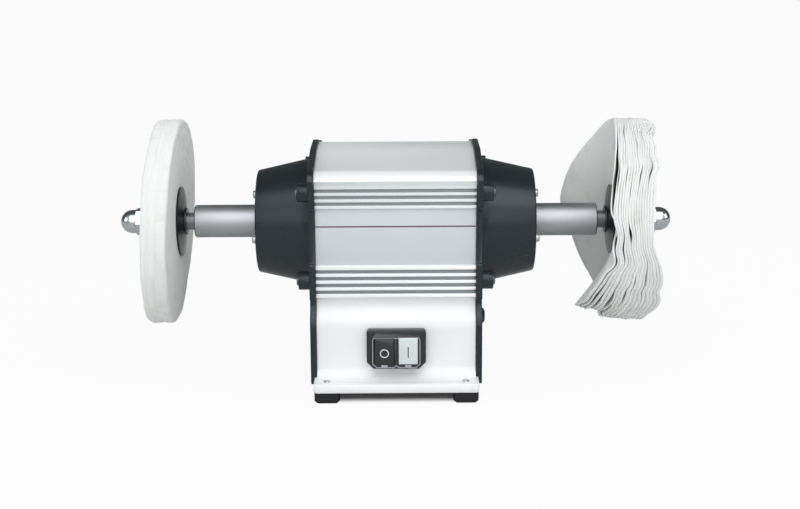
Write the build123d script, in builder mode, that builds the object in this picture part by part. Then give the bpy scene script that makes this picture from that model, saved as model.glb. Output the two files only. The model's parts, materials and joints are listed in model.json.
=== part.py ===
from build123d import *
from math import asin, atan2, cos, degrees, exp, pi, radians, sin, sqrt
import os

# Double-ended buffing machine on a table-top base
# +X runs along the shaft to the right, the switch faces -Y and +Z is up.
# The origin is on the table, under the middle of the machine. All sizes are in millimetres,
# and heights in the sections are measured from the shaft axis.

# Main sizes
axis_height = 153.5
housing_length = 151
buff_radius = 100

# Clearances
running_clearance = 0.05
loose_clearance = 0.3

# Motor housing section
roof_crest = 73.8
roof_flat = 26
roof_edge_height = 64
roof_edge_depth = 73
shoulder_depth = 90
shoulder_height = 56.5
rib_top_depth = 83.8
rib_top_height = 51.5
rib_mid_depth = 78.5
rib_low_depth = 80
panel_depth = 76
panel_top = 28.3
panel_bottom = -26.7
lip_height = -57
housing_round = 64
housing_wall = 6
rib_pitch = 6.5
rib_groove = 3.4
rib_groove_depth = 3
upper_grooves = 3
lower_grooves = 4
port_radius = 7.5
web_width = 5

# End shields with their legs
shield_thickness = 6
shield_overhang = 2.5
cone_root_radius = 62
cone_tip_radius = 50
cone_length = 53
cone_wall = 5
end_wall = 6.5
cone_edge = 2
hub_radius = 33
boss_depth = 70
boss_height = 42.5
boss_radius = 8.75
boss_length = 10.5
leg_margin = 1.5
leg_rise = 1
leg_skin = 0.8

# Screws, by shank radius
screw_m4 = 2
screw_m5 = 2.5
screw_m6 = 3
screw_play = 0.3
washer_thickness = 1
washer_margin = 0.8
port_screw_depth = 18
pan_head = 5
pan_rise = 3.5
boss_screw_rise = 2
small_head = 3.5
small_rise = 2.4
flange_screw_head = 3.2
flange_screw_rise = 1.4
head_side_share = 0.35
cover_screw_circle = 26.5
cover_screw_count = 3
cover_screw_head = 4.25
cover_screw_rise = 5.5
leg_screw_depth = 55
leg_screw_high = -82
leg_screw_rise = 14.5

# Shaft, tubes and bearings
spindle_radius = 8
journal_radius = 8.5
shoulder_radius = 10
rotor_seat_radius = 12
spindle_chamfer = 1
tube_radius = 16
tube_bore = 12
tube_edge = 1
tube_seat_depth = 12.5
tube_gap = 8
bearing_inset = 26.5
bearing_width = 12
bearing_radius = 20
outer_ring_bore = 16.4
inner_ring_radius = 12.2
ball_circle = 14.3
ball_radius = 3.3
ball_count = 8
preload_gap = 1
cover_radius = 32
cover_thickness = 4

# Stator and rotor
stator_radius = 58.5
air_gap = 0.4
rotor_radius = 32.6
stack_half = 40
slot_count = 24
slot_width = 4.4
slot_inner = 35.5
slot_outer = 50
slot_mouth = 2
winding_inner = 36
winding_outer = 54
winding_length = 22
end_ring_radius = 31
end_ring_length = 8
fan_length = 8
fan_blade_count = 8
fan_blade_width = 3
fan_hub_radius = 18

# Buffs, flanges and cap nuts
buff_x = 212
buff_width = 25
buff_edge = 5
buff_swell = 1.2
buff_swell_step = 8
buff_bore_play = 0.1
flange_radius = 34
flange_rim = 2
inner_flange_length = 7
flange_hub_radius = 13
flange_recess_radius = 26
flange_recess = 0.8
outer_flange_length = 5.4
nut_flats = 24
nut_hex_height = 13
nut_height = 28
nut_dome_radius = 11.5
nut_thread_depth = 22
nut_chamfer = 1.2
spindle_end_play = 2

# Loose buff: bundles of plies that splay apart towards the rim
# The rims of the innermost and outermost plies lean outwards, sway round the disc and fold in three
# directions, given in degrees from the top towards the front: a tuck, the tail below it and a bow behind.
inner_lean = 9
inner_sway = 8
inner_tuck = 10
inner_tail = 22
inner_bow = 34
outer_lean = 6
outer_sway = 5
outer_tuck = 5
outer_tail = 12
outer_bow = 24
tuck_angle = 75
tuck_half_angle = 40
tail_angle = 133
tail_half_angle = 17
bow_angle = 272
bow_half_angle = 33
ply_bundles = 5
ply_sections = 24
ply_gap_share = 0.04
ply_notch = 16
ply_deep_notch = 34
ply_fray = 2

# Base
shell_wall = 2.5
waist_inset = 9
waist_top = -61
waist_bottom = -63
face_top = -86
flare_rise = 10
flare_reach = 9.5
tray_half_depth = 108
tray_overhang = 2.5
tray_ledge = 15.5
tray_rim = 8.5
tray_corner = 4
plate_thickness = 2
foot_inset_x = 12.5
foot_inset_y = 10.5
foot_height = 11
foot_length = 24
foot_depth = 18
foot_stem = 6.5
foot_round = 4
foot_chamfer = 2.5
foot_nut_pocket = 6
foot_nut_flats = 7
foot_nut_height = 4
post_x = 30
post_radius = 4.5
pedestal_x = 100
pedestal_y = 130
pedestal_hole = 4.5

# Switch
bezel_length = 56
bezel_thickness = 8
bezel_corner = 6.5
bezel_round = 3
bezel_side = 5
bezel_edge = 2
frame_rise = 4
frame_slope = 3.5
frame_corner = 3.5
frame_notch = 2
key_length = 18
key_margin = 4
key_rise = 1.8
key_rest_gap = 2.3
key_travel = 3
key_divider = 3.8
key_edge = 0.8
key_slope = 5
key_slope_depth = 1.5
switch_inset = 2
switch_depth = 40
stem_size = 5
stem_length = 9
spring_length = 12
spring_radius = 2.4
spring_wall = 0.8

# Cable gland and what the base holds
gland_y = 30
gland_lift = 35.5
gland_thread = 8
gland_bore = 4.25
gland_dome = 9
gland_rise = 8.5
gland_tail = 20
locknut_flats = 22
locknut_thickness = 5
capacitor_radius = 17.5
capacitor_length = 62
capacitor_inset = 39
capacitor_y = 38
clamp_width = 14
clamp_thickness = 1.2
clamp_ear = 9
terminal_length = 40
terminal_depth = 22
terminal_height = 18
terminal_ways = 4
terminal_gap = 8

# Places that follow from the sizes
housing_end = housing_length / 2
shield_outer = housing_end + shield_thickness
cone_tip_x = shield_outer + cone_length
boss_tip_x = shield_outer + boss_length
bearing_x = cone_tip_x - bearing_inset
tube_seat_x = cone_tip_x - tube_seat_depth
spindle_step_x = buff_x - inner_flange_length
tube_end_x = spindle_step_x - tube_gap
bearing_end_x = bearing_x + bearing_width
pocket_end_x = bearing_end_x + preload_gap
cover_face_x = bearing_x - cover_thickness
buff_end_x = buff_x + buff_width
nut_x = buff_end_x + outer_flange_length
nut_tip_x = nut_x + nut_height
spindle_end_x = nut_x + nut_thread_depth - spindle_end_play
end_wall_x = housing_end - shell_wall
tray_half_length = housing_end + tray_overhang
tray_bottom = foot_height - axis_height
tray_top = tray_bottom + tray_rim
flare_start = tray_top + flare_rise
panel_front = tray_half_depth - tray_ledge - flare_reach
waist_depth = panel_front - waist_inset
face_height = face_top - flare_start
flange_underside = tray_top - shell_wall
plate_top = tray_bottom + plate_thickness
foot_x = tray_half_length - foot_inset_x
foot_y = tray_half_depth - foot_inset_y
leg_bottom = tray_bottom + leg_rise
leg_screw_low = tray_bottom + leg_screw_rise
gland_height = tray_bottom + gland_lift
bezel_centre = face_top - face_height / 2
frame_length = bezel_length - 2 * bezel_side
frame_height = face_height - 2 * bezel_edge
key_height = frame_height - 2 * key_margin
switch_length = frame_length - 2 * switch_inset
switch_height = frame_height - 2 * switch_inset
capacitor_x = capacitor_inset - end_wall_x
terminal_x = capacitor_x + (capacitor_length + terminal_length) / 2 + terminal_gap
port_places = [(side * boss_depth, level * boss_height) for side in (-1, 1) for level in (-1, 1)]
leg_screw_heights = (leg_screw_low, leg_screw_high)
leg_screw_places = [(side * leg_screw_depth, height) for side in (-1, 1) for height in leg_screw_heights]

side_plane = Plane(origin=(0, 0, axis_height), x_dir=(1, 0, 0), z_dir=(0, -1, 0))
shaft_axis = Axis((0, 0, axis_height), (1, 0, 0))

os.makedirs("parts", exist_ok=True)


# A plane square to the shaft: local x points to the back, local y up
def cross_plane(x):
    return Plane(origin=(x, 0, axis_height), x_dir=(0, 1, 0), z_dir=(1, 0, 0))


# A level plane at a height measured from the shaft axis
def level_plane(height):
    return Plane.XY.offset(axis_height + height)


# An upright plane in front of the shaft, facing the front: local x to the right, local y up
def front_plane(depth):
    return Plane(origin=(0, -depth, axis_height), x_dir=(1, 0, 0), z_dir=(0, -1, 0))


# Writes a right-hand piece and its mirror image on the left
def write_pair(piece, name):
    for side, solid in (("right", piece), ("left", mirror(piece, about=Plane.YZ))):
        solid.label = f"{name}_{side}"
        export_step(solid, f"parts/{name}_{side}.step")


# A piece turned about the shaft axis from (x, radius) points
def turned(points):
    with BuildPart() as piece:
        with BuildSketch(side_plane):
            with BuildLine():
                Polyline(*points, close=True)
            make_face()
        revolve(axis=shaft_axis)
    return piece.part


# A screw with a domed head and an optional washer: it is seated at z = 0 and its shank hangs below
def domed_screw(shank, length, head, rise, washer=0):
    points = [(0, -length), (shank, -length), (shank, 0)]
    if washer:
        points += [(head + washer_margin, 0), (head + washer_margin, washer)]
    points += [(head, washer), (head, washer + rise * head_side_share)]
    dome = rise * (1 - head_side_share)
    dome_radius = (head**2 + dome**2) / (2 * dome)
    dome_angle = asin(head / dome_radius) / 2
    top = washer + rise
    halfway = (dome_radius * sin(dome_angle), top - dome_radius * (1 - cos(dome_angle)))
    with BuildPart() as piece:
        with BuildSketch(Plane.XZ):
            with BuildLine():
                Polyline(*points)
                ThreePointArc(points[-1], halfway, (0, top))
                Line((0, top), points[0])
            make_face()
        revolve(axis=Axis.Z)
    return piece.part


# Depth of the ribbed sides at a height: they lean in towards the flat panel
def rib_face(height):
    if height > 0:
        share = (height - panel_top) / (rib_top_height - panel_top)
        return rib_mid_depth + share * (rib_top_depth - rib_mid_depth)
    share = (panel_bottom - height) / (panel_bottom - lip_height)
    return rib_mid_depth + share * (rib_low_depth - rib_mid_depth)


# Section of the motor housing, drawn for the back half and mirrored to the front
def housing_outline():
    round_meet = sqrt(housing_round**2 - lip_height**2)
    with BuildSketch() as section:
        with BuildLine():
            Polyline((0, roof_crest), (roof_flat, roof_crest), (roof_edge_depth, roof_edge_height))
            ThreePointArc(
                (roof_edge_depth, roof_edge_height),
                (roof_edge_depth + 0.7 * (shoulder_depth - roof_edge_depth), roof_edge_height - 2),
                (shoulder_depth, shoulder_height),
            )
            Polyline(
                (shoulder_depth, shoulder_height),
                (rib_top_depth, rib_top_height),
                (rib_mid_depth, panel_top),
                (panel_depth, panel_top),
                (panel_depth, panel_bottom),
                (rib_mid_depth, panel_bottom),
                (rib_low_depth, lip_height),
                (round_meet, lip_height),
            )
            ThreePointArc(
                (round_meet, lip_height),
                (round_meet / 2, -sqrt(housing_round**2 - (round_meet / 2) ** 2)),
                (0, -housing_round),
            )
            mirror(about=Plane.YZ)
        make_face()
    return section.sketch


# Section of the base from the housing down to a height, with or without the flare to the tray
def base_outline(bottom, flared=False):
    swell_middle = ((waist_depth + panel_front) / 2, (waist_bottom + face_top) / 2)
    with BuildSketch() as section:
        with BuildLine():
            Polyline(
                (0, lip_height),
                (waist_depth - 1, lip_height),
                (waist_depth, waist_top),
                (waist_depth, waist_bottom),
            )
            TangentArc((waist_depth, waist_bottom), swell_middle, tangent=(0, -1))
            TangentArc((panel_front, face_top), swell_middle, tangent=(0, 1))
            if flared:
                Line((panel_front, face_top), (panel_front, flare_start))
                ThreePointArc(
                    (panel_front, flare_start),
                    (panel_front + 0.28 * flare_reach, (flare_start + 2 * tray_top) / 3),
                    (panel_front + flare_reach, tray_top),
                )
                Polyline(
                    (panel_front + flare_reach, tray_top),
                    (tray_half_depth, tray_top),
                    (tray_half_depth, bottom),
                    (0, bottom),
                )
            else:
                Polyline((panel_front, face_top), (panel_front, bottom), (0, bottom))
            mirror(about=Plane.YZ)
        make_face()
    return section.sketch


# Motor housing: an extruded section with a ring for the stator and four screw ports
with BuildPart() as motor_housing:
    with BuildSketch(cross_plane(-housing_end)):
        add(housing_outline())
        for index in range(upper_grooves):
            height = panel_top + rib_pitch * (index + 0.75)
            with Locations((-rib_face(height), height), (rib_face(height), height)):
                Rectangle(2 * rib_groove_depth, rib_groove, mode=Mode.SUBTRACT)
        for index in range(lower_grooves):
            height = panel_bottom - rib_pitch * (index + 0.85)
            with Locations((-rib_face(height), height), (rib_face(height), height)):
                Rectangle(2 * rib_groove_depth, rib_groove, mode=Mode.SUBTRACT)
    extrude(amount=housing_length)
    with BuildSketch(cross_plane(-housing_end)):
        add(housing_outline())
        offset(amount=-housing_wall, mode=Mode.REPLACE)
        Circle(housing_round, mode=Mode.SUBTRACT)
        with Locations(*port_places):
            Circle(port_radius, mode=Mode.SUBTRACT)
        for depth, height in port_places:
            tilt = degrees(atan2(height, depth))
            with Locations(Location((depth * 0.88, height * 0.88, 0), (0, 0, tilt))):
                Rectangle(0.3 * boss_depth, web_width, mode=Mode.SUBTRACT)
    extrude(amount=housing_length, mode=Mode.SUBTRACT)
    with BuildSketch(cross_plane(-housing_end)):
        Circle(stator_radius)
        with Locations(*port_places):
            Circle(screw_m6)
    extrude(amount=housing_length, mode=Mode.SUBTRACT)
motor_housing.part.label = "motor_housing"
export_step(motor_housing.part, "parts/motor_housing.step")

# End shield: plate and leg in one casting, with the cone, screw bosses and bearing hub
with BuildPart() as end_shield:
    with BuildSketch(cross_plane(housing_end)):
        add(housing_outline())
        offset(amount=shield_overhang, mode=Mode.REPLACE)
    extrude(amount=shield_thickness)
    with BuildSketch(cross_plane(housing_end)):
        add(base_outline(leg_bottom + leg_margin))
        offset(amount=leg_margin, mode=Mode.REPLACE)
    extrude(amount=shield_thickness)
    with BuildSketch(cross_plane(housing_end)):
        with Locations(*port_places):
            Circle(boss_radius)
    extrude(amount=boss_tip_x - housing_end)
    with BuildSketch(side_plane):
        with BuildLine():
            Polyline(
                (shield_outer, 0),
                (shield_outer, cone_root_radius),
                (cone_tip_x, cone_tip_radius),
                (cone_tip_x, 0),
                close=True,
            )
        make_face()
    revolve(axis=shaft_axis)
    tip_edges = end_shield.edges().filter_by(GeomType.CIRCLE)
    fillet(tip_edges.filter_by(lambda edge: abs(edge.radius - cone_tip_radius) < 0.01), radius=cone_edge)
    with BuildSketch(side_plane):
        with BuildLine():
            Polyline(
                (housing_end, 0),
                (housing_end, cone_root_radius - cone_wall),
                (shield_outer, cone_root_radius - cone_wall),
                (cone_tip_x - end_wall, cone_tip_radius - cone_wall + 1),
                (cone_tip_x - end_wall, hub_radius),
                (bearing_x, hub_radius),
                (bearing_x, bearing_radius),
                (pocket_end_x, bearing_radius),
                (pocket_end_x, tube_bore + 2),
                (tube_seat_x, tube_bore + 2),
                (tube_seat_x, tube_radius),
                (cone_tip_x, tube_radius),
                (cone_tip_x, 0),
                close=True,
            )
        make_face()
    revolve(axis=shaft_axis, mode=Mode.SUBTRACT)
    with BuildSketch(cross_plane(bearing_x)):
        with PolarLocations(cover_screw_circle, cover_screw_count, 90):
            Circle(screw_m5 + screw_play)
    extrude(amount=cone_tip_x - bearing_x, mode=Mode.SUBTRACT)
    with BuildSketch(cross_plane(housing_end)):
        with Locations(*port_places):
            Circle(screw_m6 + screw_play)
    extrude(amount=boss_tip_x - housing_end, mode=Mode.SUBTRACT)
    with BuildSketch(cross_plane(housing_end)):
        with Locations(*leg_screw_places):
            Circle(screw_m6)
    extrude(amount=shield_thickness - leg_skin, mode=Mode.SUBTRACT)
end_shield_left = mirror(end_shield.part, about=Plane.YZ)
end_shield_left.label = "end_shield_left"
export_step(end_shield_left, "parts/end_shield_left.step")

# The right end shield also has the hole for the cable gland
with BuildPart() as end_shield_right:
    add(end_shield.part)
    with BuildSketch(cross_plane(housing_end)):
        with Locations((gland_y, gland_height)):
            Circle(gland_thread)
    extrude(amount=shield_thickness, mode=Mode.SUBTRACT)
end_shield_right.part.label = "end_shield_right"
export_step(end_shield_right.part, "parts/end_shield_right.step")

# Fixed tubes round the shaft
shaft_tube = turned(
    [
        (tube_seat_x, tube_bore),
        (tube_seat_x, tube_radius),
        (tube_end_x - tube_edge, tube_radius),
        (tube_end_x, tube_radius - tube_edge),
        (tube_end_x, tube_bore),
    ]
)
write_pair(shaft_tube, "shaft_tube")

# Stator core with its slots
with BuildPart() as stator_core:
    with BuildSketch(cross_plane(-stack_half)):
        Circle(stator_radius)
        Circle(rotor_radius + air_gap, mode=Mode.SUBTRACT)
        with PolarLocations((slot_inner + slot_outer) / 2, slot_count):
            Rectangle(slot_outer - slot_inner, slot_width, mode=Mode.SUBTRACT)
        with PolarLocations((rotor_radius + slot_inner) / 2, slot_count):
            Rectangle(slot_inner - rotor_radius + 1, slot_mouth, mode=Mode.SUBTRACT)
    extrude(amount=2 * stack_half)
stator_core.part.label = "stator_core"
export_step(stator_core.part, "parts/stator_core.step")

# Copper end windings, one rounded ring at each end of the stator
with BuildPart() as end_winding:
    with BuildSketch(side_plane):
        with Locations((stack_half + winding_length / 2, (winding_inner + winding_outer) / 2)):
            RectangleRounded(winding_length, winding_outer - winding_inner, 5)
    revolve(axis=shaft_axis)
write_pair(end_winding.part, "end_winding")

# Bearing rings: each has a race for the balls
race_radius = ball_radius + running_clearance
with BuildPart() as outer_ring:
    with BuildSketch(side_plane):
        with Locations((bearing_x + bearing_width / 2, (outer_ring_bore + bearing_radius) / 2)):
            Rectangle(bearing_width, bearing_radius - outer_ring_bore)
        with Locations((bearing_x + bearing_width / 2, ball_circle)):
            Circle(race_radius, mode=Mode.SUBTRACT)
    revolve(axis=shaft_axis)
write_pair(outer_ring.part, "bearing_outer_ring")

with BuildPart() as inner_ring:
    with BuildSketch(side_plane):
        with Locations((bearing_x + bearing_width / 2, (journal_radius + inner_ring_radius) / 2)):
            Rectangle(bearing_width, inner_ring_radius - journal_radius)
        with Locations((bearing_x + bearing_width / 2, ball_circle)):
            Circle(race_radius, mode=Mode.SUBTRACT)
    revolve(axis=shaft_axis)
write_pair(inner_ring.part, "bearing_inner_ring")

with BuildPart() as bearing_balls:
    with Locations(cross_plane(bearing_x + bearing_width / 2)):
        with PolarLocations(ball_circle, ball_count):
            Sphere(ball_radius)
write_pair(bearing_balls.part, "bearing_balls")

# Wave washer behind the left bearing and a locating ring behind the right one
locating_ring = turned(
    [
        (bearing_end_x, outer_ring_bore),
        (bearing_end_x, bearing_radius),
        (pocket_end_x, bearing_radius),
        (pocket_end_x, outer_ring_bore),
    ]
)
locating_ring.label = "locating_ring"
export_step(locating_ring, "parts/locating_ring.step")
wave_washer = mirror(locating_ring, about=Plane.YZ)
wave_washer.label = "wave_washer"
export_step(wave_washer, "parts/wave_washer.step")

# Inner bearing covers, pulled against the hubs by three screws each
with BuildPart() as bearing_cover:
    with BuildSketch(cross_plane(cover_face_x)):
        Circle(cover_radius)
        Circle(shoulder_radius + 2 * loose_clearance, mode=Mode.SUBTRACT)
        with PolarLocations(cover_screw_circle, cover_screw_count, 90):
            Circle(screw_m5, mode=Mode.SUBTRACT)
    extrude(amount=cover_thickness)
write_pair(bearing_cover.part, "bearing_cover")

cover_screw = domed_screw(
    screw_m5, cone_tip_x - cover_face_x, cover_screw_head, cover_screw_rise, washer_thickness
)
with BuildPart() as cover_screws:
    with Locations(cross_plane(cone_tip_x)):
        with PolarLocations(cover_screw_circle, cover_screw_count, 90):
            add(cover_screw)
write_pair(cover_screws.part, "cover_screws")

shield_screw = domed_screw(
    screw_m6, boss_tip_x - housing_end + port_screw_depth, pan_head, boss_screw_rise
)
with BuildPart() as shield_screws:
    with Locations(cross_plane(boss_tip_x)):
        with Locations(*port_places):
            add(shield_screw)
write_pair(shield_screws.part, "shield_screws")

# Rotor: stepped shaft, laminated core and cast end rings with fan blades
rotor_seat_x = stack_half + end_ring_length
with BuildPart() as rotor_shaft:
    with BuildSketch(side_plane):
        with BuildLine():
            Polyline(
                (0, 0),
                (0, rotor_seat_radius),
                (rotor_seat_x, rotor_seat_radius),
                (rotor_seat_x, shoulder_radius),
                (bearing_x, shoulder_radius),
                (bearing_x, journal_radius),
                (spindle_step_x, journal_radius),
                (spindle_step_x, spindle_radius),
                (spindle_end_x - spindle_chamfer, spindle_radius),
                (spindle_end_x, spindle_radius - spindle_chamfer),
                (spindle_end_x, 0),
                close=True,
            )
        make_face()
    revolve(axis=shaft_axis)
    mirror(about=Plane.YZ)
rotor_shaft.part.label = "rotor_shaft"
export_step(rotor_shaft.part, "parts/rotor_shaft.step")

with BuildPart() as rotor_core:
    with BuildSketch(cross_plane(-stack_half)):
        Circle(rotor_radius)
        Circle(rotor_seat_radius, mode=Mode.SUBTRACT)
    extrude(amount=2 * stack_half)
rotor_core.part.label = "rotor_core"
export_step(rotor_core.part, "parts/rotor_core.step")

with BuildPart() as rotor_end_ring:
    with BuildSketch(cross_plane(stack_half)):
        Circle(end_ring_radius)
        Circle(rotor_seat_radius, mode=Mode.SUBTRACT)
    extrude(amount=end_ring_length)
    with BuildSketch(cross_plane(stack_half + end_ring_length)):
        with PolarLocations((fan_hub_radius + end_ring_radius) / 2, fan_blade_count):
            Rectangle(end_ring_radius - fan_hub_radius - 1, fan_blade_width)
    extrude(amount=fan_length)
write_pair(rotor_end_ring.part, "rotor_end_ring")

# Flanges that clamp the buffs: each bears on a narrow ring near its rim
inner_flange = turned(
    [
        (spindle_step_x, spindle_radius),
        (spindle_step_x, flange_hub_radius),
        (spindle_step_x + 1.5, flange_hub_radius + 0.5),
        (buff_x - flange_rim, flange_radius),
        (buff_x, flange_radius),
        (buff_x, flange_recess_radius),
        (buff_x - flange_recess, flange_recess_radius),
        (buff_x - flange_recess, spindle_radius),
    ]
)
write_pair(inner_flange, "inner_flange")

outer_flange = turned(
    [
        (buff_end_x + flange_recess, spindle_radius),
        (buff_end_x + flange_recess, flange_recess_radius),
        (buff_end_x, flange_recess_radius),
        (buff_end_x, flange_radius),
        (buff_end_x + flange_rim, flange_radius),
        (nut_x - 0.6, flange_hub_radius + 0.8),
        (nut_x, flange_hub_radius),
        (nut_x, spindle_radius),
    ]
)
write_pair(outer_flange, "outer_flange")

# Cap nuts: hexagon with turned corners and a dome
nut_corner_radius = nut_flats / sqrt(3)
dome_centre_x = nut_tip_x - nut_dome_radius
with BuildPart() as cap_nut:
    with BuildSketch(cross_plane(nut_x)):
        RegularPolygon(nut_flats / 2, 6, major_radius=False)
    extrude(amount=nut_hex_height)
    with BuildSketch(side_plane):
        with BuildLine():
            Polyline(
                (nut_x, 0),
                (nut_x, nut_corner_radius - nut_chamfer),
                (nut_x + nut_chamfer * 0.6, nut_corner_radius),
                (nut_x + nut_hex_height - nut_chamfer, nut_corner_radius),
                (nut_x + nut_hex_height, nut_dome_radius),
                (nut_x + nut_hex_height, 0),
                close=True,
            )
        make_face()
    revolve(axis=shaft_axis, mode=Mode.INTERSECT)
    with BuildSketch(side_plane):
        with BuildLine():
            Polyline(
                (dome_centre_x, nut_dome_radius),
                (nut_x + nut_hex_height, nut_dome_radius),
                (nut_x + nut_hex_height, 0),
                (nut_tip_x, 0),
            )
            CenterArc((dome_centre_x, 0), nut_dome_radius, 0, 90)
        make_face()
    revolve(axis=shaft_axis)
    with BuildSketch(cross_plane(nut_x)):
        Circle(spindle_radius)
    extrude(amount=nut_thread_depth, mode=Mode.SUBTRACT)
write_pair(cap_nut.part, "cap_nut")

# Stitched buff on the left: a full disc whose faces swell a little outside the flanges
buff_bore = spindle_radius + buff_bore_play
with BuildPart() as buff_left:
    with BuildSketch(side_plane):
        with BuildLine():
            Polyline(
                (-buff_end_x, flange_radius),
                (-buff_end_x, buff_bore),
                (-buff_x, buff_bore),
                (-buff_x, flange_radius),
                (-buff_x + buff_swell, flange_radius + buff_swell_step),
                (-buff_x, buff_radius - buff_edge),
            )
            ThreePointArc(
                (-buff_x, buff_radius - buff_edge),
                (-buff_x - 0.3 * buff_edge, buff_radius - 0.3 * buff_edge),
                (-buff_x - buff_edge, buff_radius),
            )
            Line((-buff_x - buff_edge, buff_radius), (-buff_end_x + buff_edge, buff_radius))
            ThreePointArc(
                (-buff_end_x + buff_edge, buff_radius),
                (-buff_end_x + 0.3 * buff_edge, buff_radius - 0.3 * buff_edge),
                (-buff_end_x, buff_radius - buff_edge),
            )
            Polyline(
                (-buff_end_x, buff_radius - buff_edge),
                (-buff_end_x - buff_swell, flange_radius + buff_swell_step),
                (-buff_end_x, flange_radius),
            )
        make_face()
    revolve(axis=shaft_axis)
buff_left.part.label = "buff_left"
export_step(buff_left.part, "parts/buff_left.step")


# A smooth hump of height 1 round a direction, both in degrees from the top towards the front
def hump(turn, centre, width):
    away = (turn - centre + 180) % 360 - 180
    return exp(-((away / width) ** 2))


# X of the innermost and outermost plies at the rim of the loose buff
def rim_inner(turn):
    wave = inner_sway * cos(radians(turn)) - inner_tuck * hump(turn, tuck_angle, tuck_half_angle)
    fold = inner_tail * hump(turn, tail_angle, tail_half_angle)
    fold += inner_bow * hump(turn, bow_angle, bow_half_angle)
    return buff_x - inner_lean + wave - fold


def rim_outer(turn):
    wave = outer_sway * cos(radians(turn)) - outer_tuck * hump(turn, tuck_angle, tuck_half_angle)
    fold = outer_tail * hump(turn, tail_angle, tail_half_angle)
    fold -= outer_bow * hump(turn, bow_angle, bow_half_angle)
    return buff_end_x + outer_lean + wave + fold


# Radius where the plies leave the flanges, clear of the rims between two sections too
ply_root = (flange_radius + loose_clearance) / cos(pi / ply_sections)


# X of a ply at a radius: share 0 is the innermost ply and 1 the outermost
def ply_x(turn, share, radius):
    splay = (radius - ply_root) / (buff_radius - ply_root)
    rim = rim_inner(turn) + share * (rim_outer(turn) - rim_inner(turn))
    return buff_x + share * buff_width + splay * (rim - buff_x - share * buff_width)


# Section through the loose buff in one direction, as (x, radius) points
def ply_points(turn):
    points = [(buff_end_x, buff_bore), (buff_x, buff_bore), (buff_x, ply_root)]
    for bundle in range(ply_bundles):
        first = bundle / ply_bundles + ply_gap_share / 2
        last = (bundle + 1) / ply_bundles - ply_gap_share / 2
        tip = buff_radius - ply_fray * (1 + cos(radians(3 * turn + 140 * bundle))) / 2
        points.append((ply_x(turn, first, tip), tip))
        points.append((ply_x(turn, last, tip), tip))
        if bundle < ply_bundles - 1:
            deep = ply_deep_notch if bundle == 0 else ply_notch
            valley = buff_radius - deep * (0.75 + 0.25 * cos(radians(2 * turn + 100 * bundle)))
            middle = (bundle + 1) / ply_bundles
            points.append((ply_x(turn, middle, valley), valley))
    points.append((buff_end_x, ply_root))
    return points


# Loose buff on the right: two half turns of sections that splay as the plies do
buff_halves = []
for half_turn in (0, 180):
    with BuildPart() as buff_half:
        for step in range(ply_sections // 2 + 1):
            turn = half_turn + 360 / ply_sections * step
            outward = (0, -sin(radians(turn)), cos(radians(turn)))
            section_plane = Plane(
                origin=(0, 0, axis_height),
                x_dir=(1, 0, 0),
                z_dir=Vector(1, 0, 0).cross(Vector(*outward)),
            )
            with BuildSketch(section_plane):
                with BuildLine():
                    Polyline(*ply_points(turn), close=True)
                make_face()
        loft(ruled=True)
    buff_halves.append(buff_half.part)
with BuildPart() as buff_right:
    add(buff_halves[0])
    add(buff_halves[1])
buff_right.part.label = "buff_right"
export_step(buff_right.part, "parts/buff_right.step")

# Base shell: panel, flare and tray in one piece, open below
with BuildPart() as base_shell:
    with BuildSketch(cross_plane(-housing_end)):
        add(base_outline(tray_bottom, flared=True))
    extrude(amount=housing_length)
    ear_depth = tray_half_depth - panel_front - leg_margin - loose_clearance
    ear_y = tray_half_depth - ear_depth / 2
    with BuildSketch(level_plane(tray_bottom)):
        with Locations((0, ear_y), (0, -ear_y)):
            Rectangle(2 * tray_half_length, ear_depth)
    extrude(amount=tray_top - tray_bottom)
    upright_edges = base_shell.edges().filter_by(Axis.Z)
    by_distance = upright_edges.group_by(lambda edge: round(abs(edge.center().X) + abs(edge.center().Y)))
    fillet(by_distance[-1], radius=tray_corner)
    with BuildSketch(cross_plane(-end_wall_x)):
        add(base_outline(tray_bottom - 2 * shell_wall, flared=True))
        offset(amount=-shell_wall, mode=Mode.REPLACE)
    extrude(amount=2 * end_wall_x, mode=Mode.SUBTRACT)
    with BuildSketch(cross_plane(-housing_end)):
        Circle(housing_round)
    extrude(amount=housing_length, mode=Mode.SUBTRACT)
    with BuildSketch(level_plane(plate_top)):
        with GridLocations(2 * post_x, 2 * foot_y, 2, 2):
            Circle(post_radius)
    extrude(amount=flange_underside - plate_top)
    with BuildSketch(level_plane(plate_top)):
        with GridLocations(2 * post_x, 2 * foot_y, 2, 2):
            Circle(screw_m4)
    extrude(amount=flange_underside - plate_top, mode=Mode.SUBTRACT)
    with BuildSketch(level_plane(tray_top)):
        with GridLocations(2 * foot_x, 2 * foot_y, 2, 2):
            Circle(screw_m4 + screw_play)
    extrude(amount=-shell_wall, mode=Mode.SUBTRACT)
    with BuildSketch(front_plane(panel_front)):
        with Locations((0, bezel_centre)):
            Rectangle(switch_length + 2 * loose_clearance, switch_height + 2 * loose_clearance)
    extrude(amount=-shell_wall - 1, mode=Mode.SUBTRACT)
    with BuildSketch(cross_plane(-housing_end)):
        with Locations(*leg_screw_places):
            Circle(screw_m6 + screw_play)
    extrude(amount=housing_length, mode=Mode.SUBTRACT)
    with BuildSketch(cross_plane(0)):
        with Locations((gland_y, gland_height)):
            Circle(gland_thread)
    extrude(amount=housing_end, mode=Mode.SUBTRACT)
base_shell.part.label = "base_shell"
export_step(base_shell.part, "parts/base_shell.step")

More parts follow.
